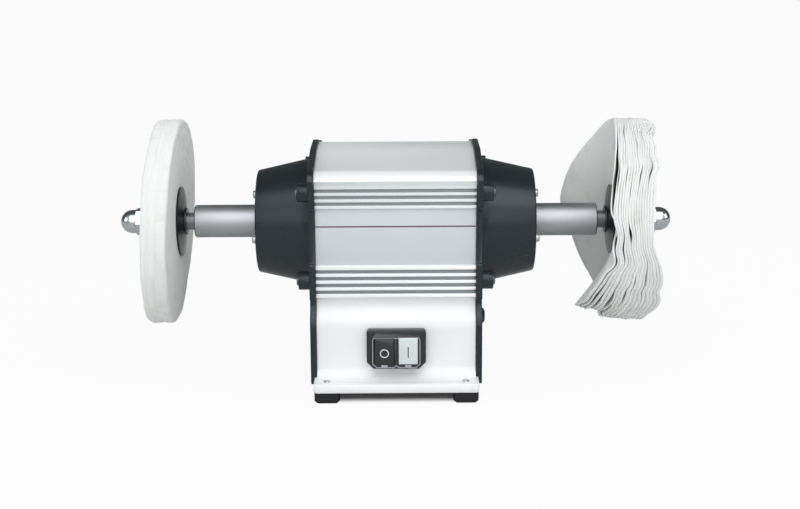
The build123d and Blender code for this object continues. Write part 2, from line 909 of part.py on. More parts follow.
# Bottom plate, with its corners cut out for the feet and holes for pedestal bolts
plate_half_length = end_wall_x - loose_clearance
plate_half_depth = tray_half_depth - shell_wall - loose_clearance
notch_length = plate_half_length - foot_x + foot_length / 2
notch_depth = plate_half_depth - foot_y + foot_depth / 2
with BuildPart() as bottom_plate:
    with BuildSketch(level_plane(tray_bottom)):
        Rectangle(2 * plate_half_length, 2 * plate_half_depth)
        with GridLocations(2 * plate_half_length - notch_length, 2 * plate_half_depth - notch_depth, 2, 2):
            Rectangle(notch_length, notch_depth, mode=Mode.SUBTRACT)
        with GridLocations(2 * post_x, 2 * foot_y, 2, 2):
            Circle(screw_m4 + screw_play, mode=Mode.SUBTRACT)
        with GridLocations(pedestal_x, pedestal_y, 2, 2):
            Circle(pedestal_hole, mode=Mode.SUBTRACT)
    extrude(amount=plate_thickness)
bottom_plate.part.label = "bottom_plate"
export_step(bottom_plate.part, "parts/bottom_plate.step")

# Screws of the bottom plate, heads below it
plate_screw = domed_screw(screw_m4, flange_underside - tray_bottom, small_head, small_rise)
with BuildPart() as plate_screws:
    with Locations(Plane(origin=(0, 0, axis_height + tray_bottom), x_dir=(1, 0, 0), z_dir=(0, 0, -1))):
        with GridLocations(2 * post_x, 2 * foot_y, 2, 2):
            add(plate_screw)
plate_screws.part.label = "plate_screws"
export_step(plate_screws.part, "parts/plate_screws.step")

# Screws from inside the base into the legs
leg_screw = domed_screw(screw_m6, shell_wall + shield_thickness - leg_skin, pan_head, pan_rise)
with BuildPart() as leg_screws:
    with Locations(Plane(origin=(end_wall_x, 0, axis_height), x_dir=(0, 1, 0), z_dir=(-1, 0, 0))):
        with Locations(*[(y, -z) for y, z in leg_screw_places]):
            add(leg_screw)
write_pair(leg_screws.part, "leg_screws")

# Rubber feet: block under the tray and a stem up to the flange
for end, end_sign in (("front", -1), ("back", 1)):
    for side, side_sign in (("left", -1), ("right", 1)):
        with BuildPart() as foot:
            with BuildSketch(Plane.XY):
                with Locations((side_sign * foot_x, end_sign * foot_y)):
                    RectangleRounded(foot_length, foot_depth, foot_round)
            extrude(amount=foot_height)
            chamfer(foot.edges().group_by(Axis.Z)[0], length=foot_chamfer)
            with BuildSketch(level_plane(tray_bottom)):
                with Locations((side_sign * foot_x, end_sign * foot_y)):
                    Circle(foot_stem)
            extrude(amount=flange_underside - tray_bottom)
            with BuildSketch(Plane.XY):
                with Locations((side_sign * foot_x, end_sign * foot_y)):
                    Circle(foot_nut_flats / sqrt(3) + loose_clearance)
            extrude(amount=foot_nut_pocket, mode=Mode.SUBTRACT)
            with BuildSketch(Plane.XY):
                with Locations((side_sign * foot_x, end_sign * foot_y)):
                    Circle(screw_m4)
            extrude(amount=axis_height + flange_underside, mode=Mode.SUBTRACT)
        foot.part.label = f"foot_{end}_{side}"
        export_step(foot.part, f"parts/foot_{end}_{side}.step")

foot_screw_length = axis_height + tray_top - foot_nut_pocket + foot_nut_height
foot_screw = domed_screw(screw_m4, foot_screw_length, flange_screw_head, flange_screw_rise)
with BuildPart() as foot_screws:
    with Locations(level_plane(tray_top)):
        with GridLocations(2 * foot_x, 2 * foot_y, 2, 2):
            add(foot_screw)
foot_screws.part.label = "foot_screws"
export_step(foot_screws.part, "parts/foot_screws.step")

with BuildPart() as foot_nuts:
    with BuildSketch(Plane.XY.offset(foot_nut_pocket - foot_nut_height)):
        with GridLocations(2 * foot_x, 2 * foot_y, 2, 2):
            RegularPolygon(foot_nut_flats / 2, 6, major_radius=False)
            Circle(screw_m4, mode=Mode.SUBTRACT)
    extrude(amount=foot_nut_height)
foot_nuts.part.label = "foot_nuts"
export_step(foot_nuts.part, "parts/foot_nuts.step")

# Switch bezel: plate on the panel and a raised frame with a cell for each button
key_x = (key_length + key_divider) / 2 + loose_clearance
key_places = [(-key_x, bezel_centre), (key_x, bezel_centre)]
frame_front = panel_front + bezel_thickness + frame_rise
with BuildPart() as switch_bezel:
    with BuildSketch(front_plane(panel_front)) as bezel_sketch:
        with Locations((0, bezel_centre)):
            Rectangle(bezel_length, face_height)
        chamfer(bezel_sketch.vertices().group_by(Axis.Y)[0], length=bezel_corner)
        fillet(bezel_sketch.vertices().group_by(Axis.Y)[-1], radius=bezel_round)
    extrude(amount=bezel_thickness)
    with BuildSketch(front_plane(panel_front + bezel_thickness)) as frame_sketch:
        with Locations((0, bezel_centre)):
            Rectangle(frame_length, frame_height)
        chamfer(frame_sketch.vertices(), length=frame_corner)
        with Locations((0, bezel_centre - frame_height / 2)):
            Rectangle(frame_notch, 2 * frame_notch, rotation=45, mode=Mode.SUBTRACT)
    extrude(amount=frame_rise)
    top_edge = switch_bezel.faces().sort_by(Axis.Y)[0].edges().sort_by(Axis.Z)[-1]
    chamfer(top_edge, length=frame_slope)
    with BuildSketch(front_plane(panel_front)):
        with Locations(*key_places):
            Rectangle(key_length + 2 * loose_clearance, key_height + 2 * loose_clearance)
    extrude(amount=bezel_thickness + frame_rise, mode=Mode.SUBTRACT)
switch_bezel.part.label = "switch_bezel"
export_step(switch_bezel.part, "parts/switch_bezel.step")

# Switch body behind the panel, with a hole for each button's stem and spring
key_back = panel_front + key_rest_gap + key_travel
key_cap = frame_front + key_rise - key_back
key_top = bezel_centre + key_height / 2
stem_end = key_back - stem_length
with BuildPart() as switch_body:
    with BuildSketch(front_plane(panel_front)):
        with Locations((0, bezel_centre)):
            Rectangle(switch_length, switch_height)
    extrude(amount=-switch_depth)
    with BuildSketch(front_plane(panel_front)):
        with Locations(*key_places):
            Rectangle(stem_size + 2 * loose_clearance, stem_size + 2 * loose_clearance)
    extrude(amount=stem_end - spring_length - panel_front, mode=Mode.SUBTRACT)
switch_body.part.label = "switch_body"
export_step(switch_body.part, "parts/switch_body.step")

# Buttons and their return springs
for name, place in zip(("stop", "start"), key_places):
    with BuildPart() as button:
        with BuildSketch(front_plane(key_back)):
            with Locations(place):
                Rectangle(key_length, key_height)
        extrude(amount=key_cap)
        chamfer(button.faces().sort_by(Axis.Y)[0].edges(), length=key_edge)
        with BuildSketch(cross_plane(place[0] - key_length / 2)):
            with BuildLine():
                Polyline(
                    (-frame_front - key_rise, key_top - key_slope),
                    (-frame_front - key_rise, key_top),
                    (-frame_front - key_rise + key_slope_depth, key_top),
                    close=True,
                )
            make_face()
        extrude(amount=key_length, mode=Mode.SUBTRACT)
        with BuildSketch(front_plane(key_back)):
            with Locations(place):
                Rectangle(stem_size, stem_size)
        extrude(amount=-stem_length)
    button.part.label = f"{name}_button"
    export_step(button.part, f"parts/{name}_button.step")
    with BuildPart() as spring:
        with BuildSketch(front_plane(stem_end)):
            with Locations(place):
                Circle(spring_radius)
                Circle(spring_radius - spring_wall, mode=Mode.SUBTRACT)
        extrude(amount=-spring_length)
    spring.part.label = f"{name}_spring"
    export_step(spring.part, f"parts/{name}_spring.step")

# Cable gland in the right leg, held by a nut inside the base
gland_centre = (0, gland_y, axis_height + gland_height)
with BuildPart() as cable_gland:
    with BuildSketch(Plane(origin=gland_centre, x_dir=(1, 0, 0), z_dir=(0, -1, 0))):
        with BuildLine():
            Polyline(
                (shield_outer + gland_rise, gland_bore),
                (shield_outer - gland_tail, gland_bore),
                (shield_outer - gland_tail, gland_thread),
                (shield_outer, gland_thread),
                (shield_outer, gland_dome),
                (shield_outer + 0.4 * gland_rise, gland_dome),
            )
            ThreePointArc(
                (shield_outer + 0.4 * gland_rise, gland_dome),
                (shield_outer + 0.82 * gland_rise, 0.83 * gland_dome),
                (shield_outer + gland_rise, gland_bore + 1),
            )
            Line((shield_outer + gland_rise, gland_bore + 1), (shield_outer + gland_rise, gland_bore))
        make_face()
    revolve(axis=Axis(gland_centre, (1, 0, 0)))
cable_gland.part.label = "cable_gland"
export_step(cable_gland.part, "parts/cable_gland.step")

with BuildPart() as gland_locknut:
    with BuildSketch(cross_plane(end_wall_x)):
        with Locations((gland_y, gland_height)):
            RegularPolygon(locknut_flats / 2, 6, major_radius=False)
            Circle(gland_thread, mode=Mode.SUBTRACT)
    extrude(amount=-locknut_thickness)
gland_locknut.part.label = "gland_locknut"
export_step(gland_locknut.part, "parts/gland_locknut.step")

# Run capacitor lying on the bottom plate, under its clamp
capacitor_height = plate_top + clamp_thickness + capacitor_radius
with BuildPart() as run_capacitor:
    with BuildSketch(cross_plane(capacitor_x - capacitor_length / 2)):
        with Locations((capacitor_y, capacitor_height)):
            Circle(capacitor_radius)
    extrude(amount=capacitor_length)
    chamfer(run_capacitor.edges().filter_by(GeomType.CIRCLE), length=1.5)
run_capacitor.part.label = "run_capacitor"
export_step(run_capacitor.part, "parts/run_capacitor.step")

clamp_outer = capacitor_radius + clamp_thickness
with BuildPart() as capacitor_clamp:
    with BuildSketch(cross_plane(capacitor_x - clamp_width / 2)):
        with Locations((capacitor_y, capacitor_height)):
            Circle(clamp_outer)
        with Locations((capacitor_y, plate_top + clamp_thickness / 2)):
            Rectangle(2 * (clamp_outer + clamp_ear), clamp_thickness)
        with Locations((capacitor_y, capacitor_height)):
            Circle(capacitor_radius, mode=Mode.SUBTRACT)
    extrude(amount=clamp_width)
capacitor_clamp.part.label = "capacitor_clamp"
export_step(capacitor_clamp.part, "parts/capacitor_clamp.step")

# Terminal block with a wire hole and a screw well for each way
way_pitch = terminal_length / terminal_ways
with BuildPart() as terminal_block:
    with BuildSketch(level_plane(plate_top)):
        with Locations((terminal_x, capacitor_y)):
            Rectangle(terminal_length, terminal_depth)
    extrude(amount=terminal_height)
    with BuildSketch(level_plane(plate_top + terminal_height)):
        with Locations((terminal_x, capacitor_y)):
            with GridLocations(way_pitch, terminal_depth / 2, terminal_ways, 2):
                Circle(way_pitch / 4)
    extrude(amount=-terminal_height / 2, mode=Mode.SUBTRACT)
terminal_block.part.label = "terminal_block"
export_step(terminal_block.part, "parts/terminal_block.step")
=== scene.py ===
import bpy
import bmesh
import json
from math import sin, cos, pi, radians, exp
from mathutils import Matrix, Vector, noise


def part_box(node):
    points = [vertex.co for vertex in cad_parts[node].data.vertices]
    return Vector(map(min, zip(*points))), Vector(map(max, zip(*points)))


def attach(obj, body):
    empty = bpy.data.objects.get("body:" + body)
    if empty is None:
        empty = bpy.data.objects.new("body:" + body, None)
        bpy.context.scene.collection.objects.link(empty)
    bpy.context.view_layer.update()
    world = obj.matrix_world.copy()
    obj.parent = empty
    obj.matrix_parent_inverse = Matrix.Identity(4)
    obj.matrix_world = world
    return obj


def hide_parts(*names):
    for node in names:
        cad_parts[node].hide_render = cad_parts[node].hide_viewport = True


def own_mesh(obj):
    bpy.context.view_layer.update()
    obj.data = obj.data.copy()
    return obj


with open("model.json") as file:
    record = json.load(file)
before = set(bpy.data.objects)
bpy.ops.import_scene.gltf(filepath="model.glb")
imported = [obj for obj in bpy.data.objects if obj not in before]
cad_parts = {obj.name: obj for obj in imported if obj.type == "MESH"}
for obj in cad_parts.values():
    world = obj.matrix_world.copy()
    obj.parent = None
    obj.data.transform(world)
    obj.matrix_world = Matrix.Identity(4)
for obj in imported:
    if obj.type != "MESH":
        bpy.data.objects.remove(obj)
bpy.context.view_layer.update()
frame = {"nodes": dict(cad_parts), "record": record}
nodes = frame["nodes"]
scene = bpy.context.scene
scene.view_settings.view_transform = "Standard"
mm = 0.001
print("frame loaded:", len(nodes), "nodes")

# Places read from the frame
shaftLow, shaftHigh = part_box("rotor_shaft")
shaftHeight = (shaftLow.z + shaftHigh.z) / 2
flangeLow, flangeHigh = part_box("inner_flange_right")
flangeRadius = (flangeHigh.z - flangeLow.z) / 2
buffStart = flangeHigh.x                          # where the buffs touch the inner flanges
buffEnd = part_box("outer_flange_right")[0].x       # and the outer ones
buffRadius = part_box("buff_left")[1].z - shaftHeight
housingLow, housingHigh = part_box("motor_housing")
bezelLow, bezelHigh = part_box("switch_bezel")
keyLow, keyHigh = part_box("start_button")
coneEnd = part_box("end_shield_right")[1].x
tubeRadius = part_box("shaft_tube_right")[1].z - shaftHeight


# Small helpers: colours, nodes, meshes
def tint(red, green, blue):
    channels = []
    for value in (red, green, blue):
        share = value / 255
        channels.append(share / 12.92 if share <= 0.04045 else ((share + 0.055) / 1.055) ** 2.4)
    return (*channels, 1)


def addNode(tree, kind, **values):
    node = tree.nodes.new(kind)
    for name, value in values.items():
        if name in node.inputs:
            node.inputs[name].default_value = value
        else:
            setattr(node, name, value)
    return node


def newGroup(name, inputs, outputs):
    group = bpy.data.node_groups.new(name, "ShaderNodeTree")
    for socket, value in inputs.items():
        kind = "NodeSocketVector" if isinstance(value, tuple) else "NodeSocketFloat"
        group.interface.new_socket(socket, in_out="INPUT", socket_type=kind).default_value = value
    for socket in outputs:
        group.interface.new_socket(socket, in_out="OUTPUT", socket_type="NodeSocketFloat")
    return group, group.nodes.new("NodeGroupInput"), group.nodes.new("NodeGroupOutput")


def useGroup(tree, group, **values):
    node = tree.nodes.new("ShaderNodeGroup")
    node.node_tree = group
    for name, value in values.items():
        node.inputs[name].default_value = value
    return node


def finishPiece(bm, name, material, body, replaced=(), smooth=True):
    bmesh.ops.recalc_face_normals(bm, faces=bm.faces)
    for face in bm.faces:
        face.smooth = smooth
    mesh = bpy.data.meshes.new(name)
    bm.to_mesh(mesh)
    bm.free()
    mesh.materials.append(material)
    piece = bpy.data.objects.new(name, mesh)
    scene.collection.objects.link(piece)
    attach(piece, body)
    if replaced:
        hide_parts(*replaced)
    return piece


def roundedCopy(node, name, material, body, width, limit=30):
    # a copy of a carried-over node with its sharp edges rounded, which stands in for it
    bm = bmesh.new()
    bm.from_mesh(nodes[node].data)
    bmesh.ops.remove_doubles(bm, verts=bm.verts, dist=0.004 * mm)
    piece = finishPiece(bm, name, material, body, [node])
    bevel = piece.modifiers.new("round", "BEVEL")
    bevel.width = width
    bevel.segments = 2
    bevel.limit_method = "ANGLE"
    bevel.angle_limit = radians(limit)
    bevel.harden_normals = True
    bevel.use_clamp_overlap = False
    bevel.loop_slide = False
    return piece


def hump(turn, centre, halfAngle):
    # 1 at the centre, fading to both sides round the disc
    away = (turn - centre + 180) % 360 - 180
    return exp(-((away / halfAngle) ** 2))


def rolledSheet(bm, columns, rows, place, marks={}):
    # a flat grid rolled up and closed both ways: place(column, row) gives each corner's point,
    # and marks gives the values that its corners carry, by name
    sheet = bmesh.ops.create_grid(bm, x_segments=columns, y_segments=rows, size=1)["verts"]
    for index, vert in enumerate(sheet):
        column, row = index % (columns + 1) % columns, index // (columns + 1) % rows
        vert.co = place(column, row)
        for name, value in marks.items():
            vert[bm.verts.layers.float[name]] = value(column, row)
    bmesh.ops.remove_doubles(bm, verts=sheet, dist=0.002 * mm)


def hexReach(angle):
    # distance to a hexagon's side, for a corner at 1
    return cos(pi / 6) / cos((angle % (pi / 3)) - pi / 6)


def turnedInto(bm, outline, seat, along, steps):
    # a closed turned shape from pole to pole: (distance along the axis, radius, whether it is hexagonal)
    along = Vector(along)
    across = along.orthogonal().normalized()
    third = along.cross(across)
    sheet = bmesh.ops.create_grid(bm, x_segments=len(outline) - 1, y_segments=steps, size=1)["verts"]
    for index, vert in enumerate(sheet):
        distance, radius, hexagonal = outline[index % len(outline)]
        angle = 2 * pi * (index // len(outline) % steps) / steps
        reach = radius * hexReach(angle) if hexagonal else radius
        vert.co = Vector(seat) + along * distance + reach * (cos(angle) * across + sin(angle) * third)
    bmesh.ops.remove_doubles(bm, verts=sheet, dist=0.002 * mm)


def stripInto(bm, path, width, front, thickness, closed=True):
    # a flat strip along a path of (x, z) points, standing out of a face towards the front
    count = len(path)
    rings = []
    for index, (x, z) in enumerate(path):
        before = Vector(path[index - 1]) if closed or index > 0 else Vector((x, z))
        after = Vector(path[(index + 1) % count]) if closed or index < count - 1 else Vector((x, z))
        here = Vector((x, z))
        arriving = (here - before).normalized() if (here - before).length else (after - here).normalized()
        leaving = (after - here).normalized() if (after - here).length else arriving
        middle = (arriving + leaving).normalized()
        normal = Vector((-middle.y, middle.x)) * (width / 2 / max(0.5, middle.dot(arriving)))
        ring = []
        for side, depth in ((1, 0), (1, 0.7), (0.7, 1), (-0.7, 1), (-1, 0.7), (-1, 0)):
            place = here + normal * side
            ring.append(bm.verts.new((place.x, -front - thickness * depth, place.y)))
        rings.append(ring)
    last = count if closed else count - 1
    for index in range(last):
        first, second = rings[index], rings[(index + 1) % count]
        for corner in range(6):
            following = (corner + 1) % 6
            bm.faces.new((first[corner], first[following], second[following], second[corner]))
    if not closed:
        bm.faces.new(rings[0])
        bm.faces.new(rings[-1])


def blockInto(bm, low, high, rounding):
    # a block with rounded edges
    made = bmesh.ops.create_cube(bm, size=1)["verts"]
    for vert in made:
        vert.co = Vector([low[axis] if vert.co[axis] < 0 else high[axis] for axis in range(3)])
    edges = list({edge for vert in made for edge in vert.link_edges})
    bmesh.ops.bevel(bm, geom=edges, offset=rounding, segments=2, profile=0.5, affect="EDGES")


# Camera at the photograph's viewing angle
cameraSetup = {
    "lens": 68.5,              # on a 36 mm sensor
    "distance": 1500 * mm,     # to the middle of the shaft
    "pitch": 14,               # degrees down
    "sideStep": 4 * mm,
    "drop": 34 * mm,           # the shaft stands this far above the middle of the picture
    "roll": 0.33,              # degrees clockwise
}


def makeCamera():
    pitch = radians(cameraSetup["pitch"])
    forward = Vector((0, cos(pitch), -sin(pitch)))
    upward = Vector((0, sin(pitch), cos(pitch)))
    data = bpy.data.cameras.new("camera")
    data.lens = cameraSetup["lens"]
    data.sensor_width = 36
    data.clip_start = 0.05
    data.clip_end = 60
    camera = bpy.data.objects.new("camera", data)
    scene.collection.objects.link(camera)
    aim = Vector((cameraSetup["sideStep"], 0, shaftHeight))
    camera.location = aim - forward * cameraSetup["distance"] - upward * cameraSetup["drop"]
    tilted = Matrix.Rotation(pi / 2 - pitch, 3, "X") @ Matrix.Rotation(-radians(cameraSetup["roll"]), 3, "Z")
    camera.rotation_euler = tilted.to_euler()
    scene.camera = camera


makeCamera()
print("camera placed")

# Light: a broad lamp high in front, a wide one ahead, weaker ones at the sides, and the world
lightSetup = {
    "world": 0.47,
    "lamps": [
        # name, place, size across and down, power
        ("key", (0.2, -1.25, 2.15), (3.2, 1.7), 31),
        ("ahead", (0, -2.6, 1.0), (3.4, 1.7), 20),
        ("leftFill", (-2.2, -0.6, 0.9), (1.2, 1.2), 7),
        ("rightFill", (2.2, -0.4, 1.0), (1.2, 1.2), 7),
    ],
    # what polished metal sees: a bright bank ahead, dark low down and behind
    "bank": 0.85,
    "surround": 0.13,
}


def makeLights():
    target = Vector((0, 0, shaftHeight))
    for name, place, size, power in lightSetup["lamps"]:
        data = bpy.data.lights.new(name, "AREA")
        data.shape = "RECTANGLE"
        data.size, data.size_y = size
        data.energy = power
        lamp = bpy.data.objects.new(name, data)
        scene.collection.objects.link(lamp)
        lamp.location = place
        lamp.rotation_euler = (target - Vector(place)).to_track_quat("-Z", "Y").to_euler()


def easedRange(tree, value, low, high):
    ramp = addNode(tree, "ShaderNodeMapRange", interpolation_type="SMOOTHSTEP")
    ramp.inputs["From Min"].default_value = low
    ramp.inputs["From Max"].default_value = high
    tree.links.new(value, ramp.inputs["Value"])
    return ramp.outputs["Result"]


def combined(tree, operation, first, second):
    node = addNode(tree, "ShaderNodeMath", operation=operation)
    for socket, value in ((node.inputs[0], first), (node.inputs[1], second)):
        if isinstance(value, (int, float)):
            socket.default_value = value
        else:
            tree.links.new(value, socket)
    return node.outputs[0]


def makeWorld():
    world = bpy.data.worlds.new("studio")
    scene.world = world
    world.use_nodes = True
    tree = world.node_tree
    background = tree.nodes["Background"]
    path = addNode(tree, "ShaderNodeLightPath")
    place = addNode(tree, "ShaderNodeTexCoord")
    split = addNode(tree, "ShaderNodeSeparateXYZ")
    tree.links.new(place.outputs["Generated"], split.inputs[0])
    ahead = easedRange(tree, split.outputs["Y"], 0.25, -0.7)
    above = easedRange(tree, split.outputs["Z"], -0.05, 0.3)
    bank = combined(tree, "MULTIPLY", ahead, above)
    studio = combined(tree, "MULTIPLY_ADD", bank, lightSetup["bank"])
    studio.node.inputs[2].default_value = lightSetup["surround"]
    glossy = combined(tree, "MULTIPLY", studio, path.outputs["Is Glossy Ray"])
    seen = combined(tree, "MAXIMUM", path.outputs["Is Camera Ray"], path.outputs["Is Transmission Ray"])
    plain = combined(tree, "MULTIPLY", combined(tree, "SUBTRACT", 1.0, path.outputs["Is Glossy Ray"]), lightSetup["world"])
    strength = combined(tree, "MAXIMUM", combined(tree, "MAXIMUM", seen, glossy), plain)
    background.inputs["Color"].default_value = (1, 1, 1, 1)
    tree.links.new(strength, background.inputs["Strength"])


# Pale floor: white to the camera, plain under the machine, where its shadow lies
floorSetup = {
    "white": 0.93,
    "footprint": (72 * mm, 88 * mm),       # half length and half depth of the dark part
    "fade": (7 * mm, 17 * mm),
}


def makeFloor():
    bm = bmesh.new()
    bmesh.ops.create_grid(bm, x_segments=8, y_segments=8, size=14)
    mesh = bpy.data.meshes.new("floor")
    bm.to_mesh(mesh)
    bm.free()
    floor = bpy.data.objects.new("floor", mesh)
    scene.collection.objects.link(floor)
    material = bpy.data.materials.new("paleFloor")
    material.use_nodes = True
    tree = material.node_tree
    shader = tree.nodes["Principled BSDF"]
    shader.inputs["Roughness"].default_value = 0.8
    shader.inputs["Specular IOR Level"].default_value = 0.1
    shader.inputs["Base Color"].default_value = (0.7, 0.7, 0.7, 1)
    glow = addNode(tree, "ShaderNodeEmission", Color=(1, 1, 1, 1), Strength=1.0)
    path = addNode(tree, "ShaderNodeLightPath")
    place = addNode(tree, "ShaderNodeTexCoord")
    split = addNode(tree, "ShaderNodeSeparateXYZ")
    tree.links.new(place.outputs["Object"], split.inputs[0])
    outside = []
    for axis, half, fade in zip("XY", floorSetup["footprint"], floorSetup["fade"]):
        away = combined(tree, "ABSOLUTE", split.outputs[axis], 0.0)
        outside.append(easedRange(tree, away, half, half + fade))
    clear = combined(tree, "MAXIMUM", *outside)
    share = combined(tree, "MULTIPLY", clear, floorSetup["white"])
    shown = combined(tree, "MULTIPLY", share, path.outputs["Is Camera Ray"])
    mix = addNode(tree, "ShaderNodeMixShader")
    tree.links.new(shown, mix.inputs[0])
    tree.links.new(shader.outputs[0], mix.inputs[1])
    tree.links.new(glow.outputs[0], mix.inputs[2])
    tree.links.new(mix.outputs[0], tree.nodes["Material Output"].inputs["Surface"])
    mesh.materials.append(material)


makeLights()
makeWorld()
makeFloor()
print("studio ready")


# Effects that several finishes share
def makeBlotches():
    # soft uneven patches
    group, given, result = newGroup("blotches", {"Scale": 20.0, "Detail": 4.0, "Low": 0.4, "High": 0.6}, ["Mask"])
    place = addNode(group, "ShaderNodeTexCoord")
    cloud = addNode(group, "ShaderNodeTexNoise")
    spread = addNode(group, "ShaderNodeMapRange")
    group.links.new(place.outputs["Object"], cloud.inputs["Vector"])
    group.links.new(given.outputs["Scale"], cloud.inputs["Scale"])
    group.links.new(given.outputs["Detail"], cloud.inputs["Detail"])
    group.links.new(cloud.outputs["Fac"], spread.inputs["Value"])
    group.links.new(given.outputs["Low"], spread.inputs["From Min"])
    group.links.new(given.outputs["High"], spread.inputs["From Max"])
    group.links.new(spread.outputs["Result"], result.inputs["Mask"])
    return group


def makeStreaks():
    # fine lines along one direction: the stretch is small along the lines and large across them
    group, given, result = newGroup("streaks", {"Stretch": (20.0, 900.0, 900.0)}, ["Mask"])
    place = addNode(group, "ShaderNodeTexCoord")
    pull = addNode(group, "ShaderNodeVectorMath", operation="MULTIPLY")
    lines = addNode(group, "ShaderNodeTexNoise", Scale=1.0, Detail=3.0, Roughness=0.6)
    group.links.new(place.outputs["Object"], pull.inputs[0])
    group.links.new(given.outputs["Stretch"], pull.inputs[1])
    group.links.new(pull.outputs[0], lines.inputs["Vector"])
    group.links.new(lines.outputs["Fac"], result.inputs["Mask"])
    return group


def makePebble():
    # the fine orange peel of powder coat, rubber and moulded skins
    group, given, result = newGroup("pebble", {"Scale": 600.0, "Depth": 0.5}, ["Height"])
    place = addNode(group, "ShaderNodeTexCoord")
    cells = addNode(group, "ShaderNodeTexVoronoi", feature="SMOOTH_F1")
    cloud = addNode(group, "ShaderNodeTexNoise", Detail=2.0)
    total = addNode(group, "ShaderNodeMath", operation="ADD")
    depth = addNode(group, "ShaderNodeMath", operation="MULTIPLY")
    for texture in (cells, cloud):
        group.links.new(place.outputs["Object"], texture.inputs["Vector"])
        group.links.new(given.outputs["Scale"], texture.inputs["Scale"])
    group.links.new(cells.outputs["Distance"], total.inputs[0])
    group.links.new(cloud.outputs["Fac"], total.inputs[1])
    group.links.new(total.outputs[0], depth.inputs[0])
    group.links.new(given.outputs["Depth"], depth.inputs[1])
    group.links.new(depth.outputs[0], result.inputs["Height"])
    return group


def makeSettled():
    # what settles on faces that look up, broken by a cloud
    group, given, result = newGroup("settled", {"Scale": 30.0, "Amount": 0.3}, ["Mask"])
    shape = addNode(group, "ShaderNodeNewGeometry")
    split = addNode(group, "ShaderNodeSeparateXYZ")
    facing = addNode(group, "ShaderNodeMapRange")
    facing.inputs["From Min"].default_value = 0.3
    facing.inputs["From Max"].default_value = 1.0
    place = addNode(group, "ShaderNodeTexCoord")
    cloud = addNode(group, "ShaderNodeTexNoise", Detail=6.0)
    first = addNode(group, "ShaderNodeMath", operation="MULTIPLY")
    second = addNode(group, "ShaderNodeMath", operation="MULTIPLY")
    group.links.new(shape.outputs["Normal"], split.inputs[0])
    group.links.new(split.outputs["Z"], facing.inputs["Value"])
    group.links.new(place.outputs["Object"], cloud.inputs["Vector"])
    group.links.new(given.outputs["Scale"], cloud.inputs["Scale"])
    group.links.new(facing.outputs["Result"], first.inputs[0])
    group.links.new(cloud.outputs["Fac"], first.inputs[1])
    group.links.new(first.outputs[0], second.inputs[0])
    group.links.new(given.outputs["Amount"], second.inputs[1])
    group.links.new(second.outputs[0], result.inputs["Mask"])
    return group


def makeMuslin():
    # over-and-under threads of plain cotton, a little uneven
    group, given, result = newGroup("muslin", {"Threads": 1400.0, "Unevenness": 1.2}, ["Height", "Mask"])
    place = addNode(group, "ShaderNodeTexCoord")
    warps = []
    for direction in ("Y", "Z"):
        warp = addNode(group, "ShaderNodeTexWave", wave_type="BANDS", bands_direction=direction, Detail=1.0)
        group.links.new(place.outputs["Object"], warp.inputs["Vector"])
        group.links.new(given.outputs["Threads"], warp.inputs["Scale"])
        group.links.new(given.outputs["Unevenness"], warp.inputs["Distortion"])
        warps.append(warp)
    cross = addNode(group, "ShaderNodeMath", operation="MAXIMUM")
    group.links.new(warps[0].outputs["Fac"], cross.inputs[0])
    group.links.new(warps[1].outputs["Fac"], cross.inputs[1])
    lint = addNode(group, "ShaderNodeTexNoise", Scale=160.0, Detail=5.0)
    group.links.new(place.outputs["Object"], lint.inputs["Vector"])
    both = addNode(group, "ShaderNodeMath", operation="ADD")
    group.links.new(cross.outputs[0], both.inputs[0])
    group.links.new(lint.outputs["Fac"], both.inputs[1])
    group.links.new(both.outputs[0], result.inputs["Height"])
    group.links.new(lint.outputs["Fac"], result.inputs["Mask"])
    return group


blotches = makeBlotches()
streaks = makeStreaks()
pebble = makePebble()
settled = makeSettled()
muslin = makeMuslin()


def startMaterial(name):
    material = bpy.data.materials.new(name)
    material.use_nodes = True
    tree = material.node_tree
    return material, tree, tree.nodes["Principled BSDF"]


def blendColours(tree, factor, first, second):
    mix = tree.nodes.new("ShaderNodeMix")
    mix.data_type = "RGBA"
    for socket, value in ((mix.inputs[6], first), (mix.inputs[7], second)):
        if isinstance(value, tuple):
            socket.default_value = value
        else:
            tree.links.new(value, socket)
    tree.links.new(factor, mix.inputs[0])
    return mix.outputs[2]


def spreadRoughness(tree, shader, factor, low, high):
    spread = addNode(tree, "ShaderNodeMapRange")
    spread.inputs["To Min"].default_value = low
    spread.inputs["To Max"].default_value = high
    tree.links.new(factor, spread.inputs["Value"])
    tree.links.new(spread.outputs["Result"], shader.inputs["Roughness"])


def addBump(tree, shader, height, strength, distance):
    bump = addNode(tree, "ShaderNodeBump", Strength=strength, Distance=distance)
    tree.links.new(height, bump.inputs["Height"])
    tree.links.new(bump.outputs["Normal"], shader.inputs["Normal"])


def metalFinish(name, look):
    material, tree, shader = startMaterial(name)
    shader.inputs["Metallic"].default_value = look.get("metallic", 1.0)
    lines = useGroup(tree, streaks, Stretch=look["stretch"]).outputs["Mask"]
    patches = useGroup(tree, blotches, Scale=look.get("patchScale", 40.0), Low=0.35, High=0.7).outputs["Mask"]
    worked = blendColours(tree, lines, look["dark"], look["bright"])
    shade = blendColours(tree, patches, worked, look["worn"])
    tree.links.new(shade, shader.inputs["Base Color"])
    low, high = look["roughness"]
    spreadRoughness(tree, shader, lines, low, high)
    addBump(tree, shader, lines, look.get("bump", 0.15), 0.05 * mm)
    return material


